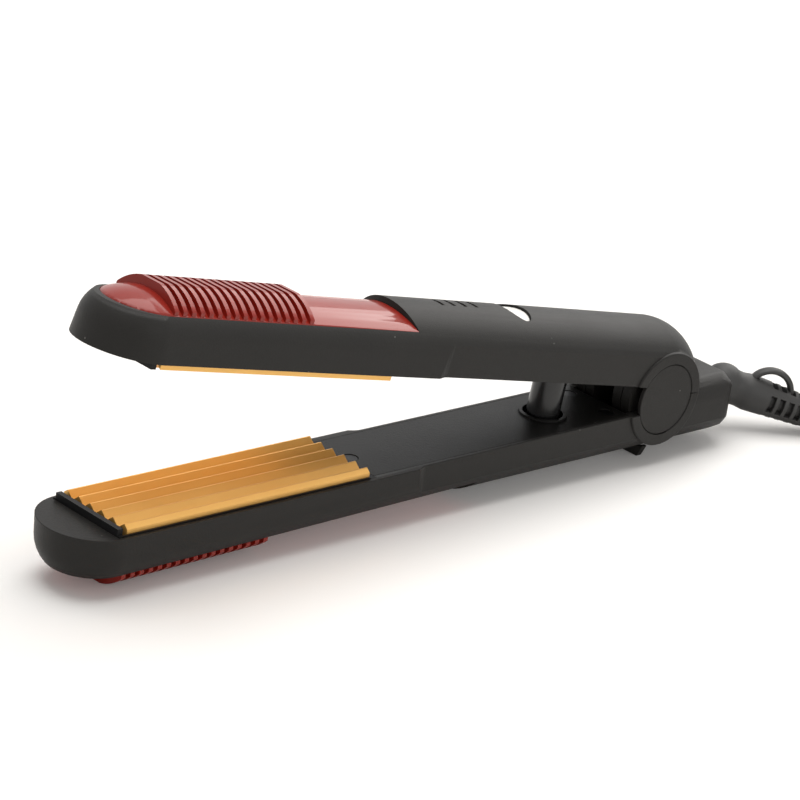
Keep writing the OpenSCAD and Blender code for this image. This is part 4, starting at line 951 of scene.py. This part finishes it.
mouths = bevel_edges(relief, on_slot_mouth, MOUTH_ROUNDING, 1)
relief_frame = (
    Matrix.Translation(ball_middle)
    @ Matrix.Rotation(CORD_YAW, 4, "Z")
    @ Matrix.Rotation(math.radians(90) + CORD_FALL, 4, "Y")
)
relief.matrix_world = relief_frame
finish_piece(relief, "cord", rubber_black, ["strain_relief"], smooth=40)
print(f"{pushed} faces pushed in, {mouths} edges rounded")

# %% [markdown]
# The hang-up loop is a flat band of the same rubber. A torus stretched along its own axis
# makes such a band. It stands upright in the cone, and about a third of it comes out on top.
# %% The hang-up loop
LOOP_RADIUS = 8 * MM
LOOP_THICKNESS = 2.3 * MM
LOOP_WIDENING = 1.9
LOOP_PLACE = (-2.75 * MM, 0, 17 * MM)

deselect_all()
bpy.ops.mesh.primitive_torus_add(
    major_segments=64, minor_segments=16, major_radius=LOOP_RADIUS, minor_radius=LOOP_THICKNESS / 2,
)
loop = bpy.context.object
loop.name = "hang_up_loop"
loop.scale = (1, 1, LOOP_WIDENING)
loop.rotation_euler = (math.radians(90), 0, 0)
pick(loop)
bpy.ops.object.transform_apply(location=False, rotation=True, scale=True)
loop.matrix_world = relief_frame @ Matrix.Translation(LOOP_PLACE)
finish_piece(loop, "cord", rubber_black, smooth=60, even=False)
print("loop", [round(side / MM, 1) for side in loop.dimensions])

# %% [markdown]
# ### The plug and the cord
# The plug's body has softened corners. Its pins wear a black sleeve near the body, so that no finger
# can touch live metal half way in. The sleeve is level with the bare pin, so it needs no mesh:
# one finish paints both, by the distance along the pin.
# %% The pins' finish
BARE_FROM = 343 * MM

pin_finish, tree, shader = new_finish("sleeved pin", roughness=0.3)
place = add_node(tree, "TexCoord")
axes = add_node(tree, "SeparateXYZ", {"Vector": place.outputs["Object"]})
bare = work_out(tree, "GREATER_THAN", axes.outputs["X"], BARE_FROM)
streaks = placed_group(tree, streak_group, Along=(4000.0, 200.0, 4000.0))
shine = colour_between(tree, streaks.outputs["Streak"], (0.58, 0.57, 0.54), (0.74, 0.73, 0.7))
sleeve = add_node(tree, "Mix", {"Factor": bare, "B": shine}, data_type="RGBA")
sleeve.inputs["A"].default_value = (0.012, 0.012, 0.012, 1)
tree.links.new(sleeve.outputs["Result"], shader.inputs["Base Color"])
tree.links.new(bare, shader.inputs["Metallic"])
print("bare metal beyond", round(BARE_FROM / MM), "mm")

# %% [markdown]
# The plug's case and pins are softened copies, and the cord gets its black sheath.
# %% Plug and cord
plug_case = softened(
    "plug_body", "plug_case", "cord", rubber_black, 0.8, segments=3, least=35,
)
pins = softened("plug_pins", "sleeved_pins", "cord", pin_finish, 0.2, segments=1, least=60)
mains_cord.data.materials.append(cord_black)

# %% [markdown]
# ## Finishes on the solids that stay
# What is hidden, or already right, keeps its own mesh and gets its finish in its slot.
# %% Finish the remaining nodes
finish_of_slot = {
    "housing": charcoal,
    "guard": guard_red,
    "carrier": tray_black,
    "plate": lower_gold,
    "ceramic": ceramic,
    "film": film,
    "steel": steel,
    "brass": brass,
    "nylon": nylon,
    "lead": wire_sleeve,
    "board": board,
    "component": component_black,
    "lamp": lamp_red,
    "lens": lens,
    "button": button_white,
    "cord_plastic": rubber_black,
    "pin": steel,
}
finish_of_node = {
    "lower_cover_screws": dark_steel,
    "upper_cover_screws": dark_steel,
    "cord_swivel": rubber_black,
}
for name, node in nodes.items():
    for slot in node.material_slots:
        slot_name = slot.material.name.split(".")[0]
        slot.material = finish_of_node.get(name, finish_of_slot[slot_name])
print(len(nodes), "nodes finished")
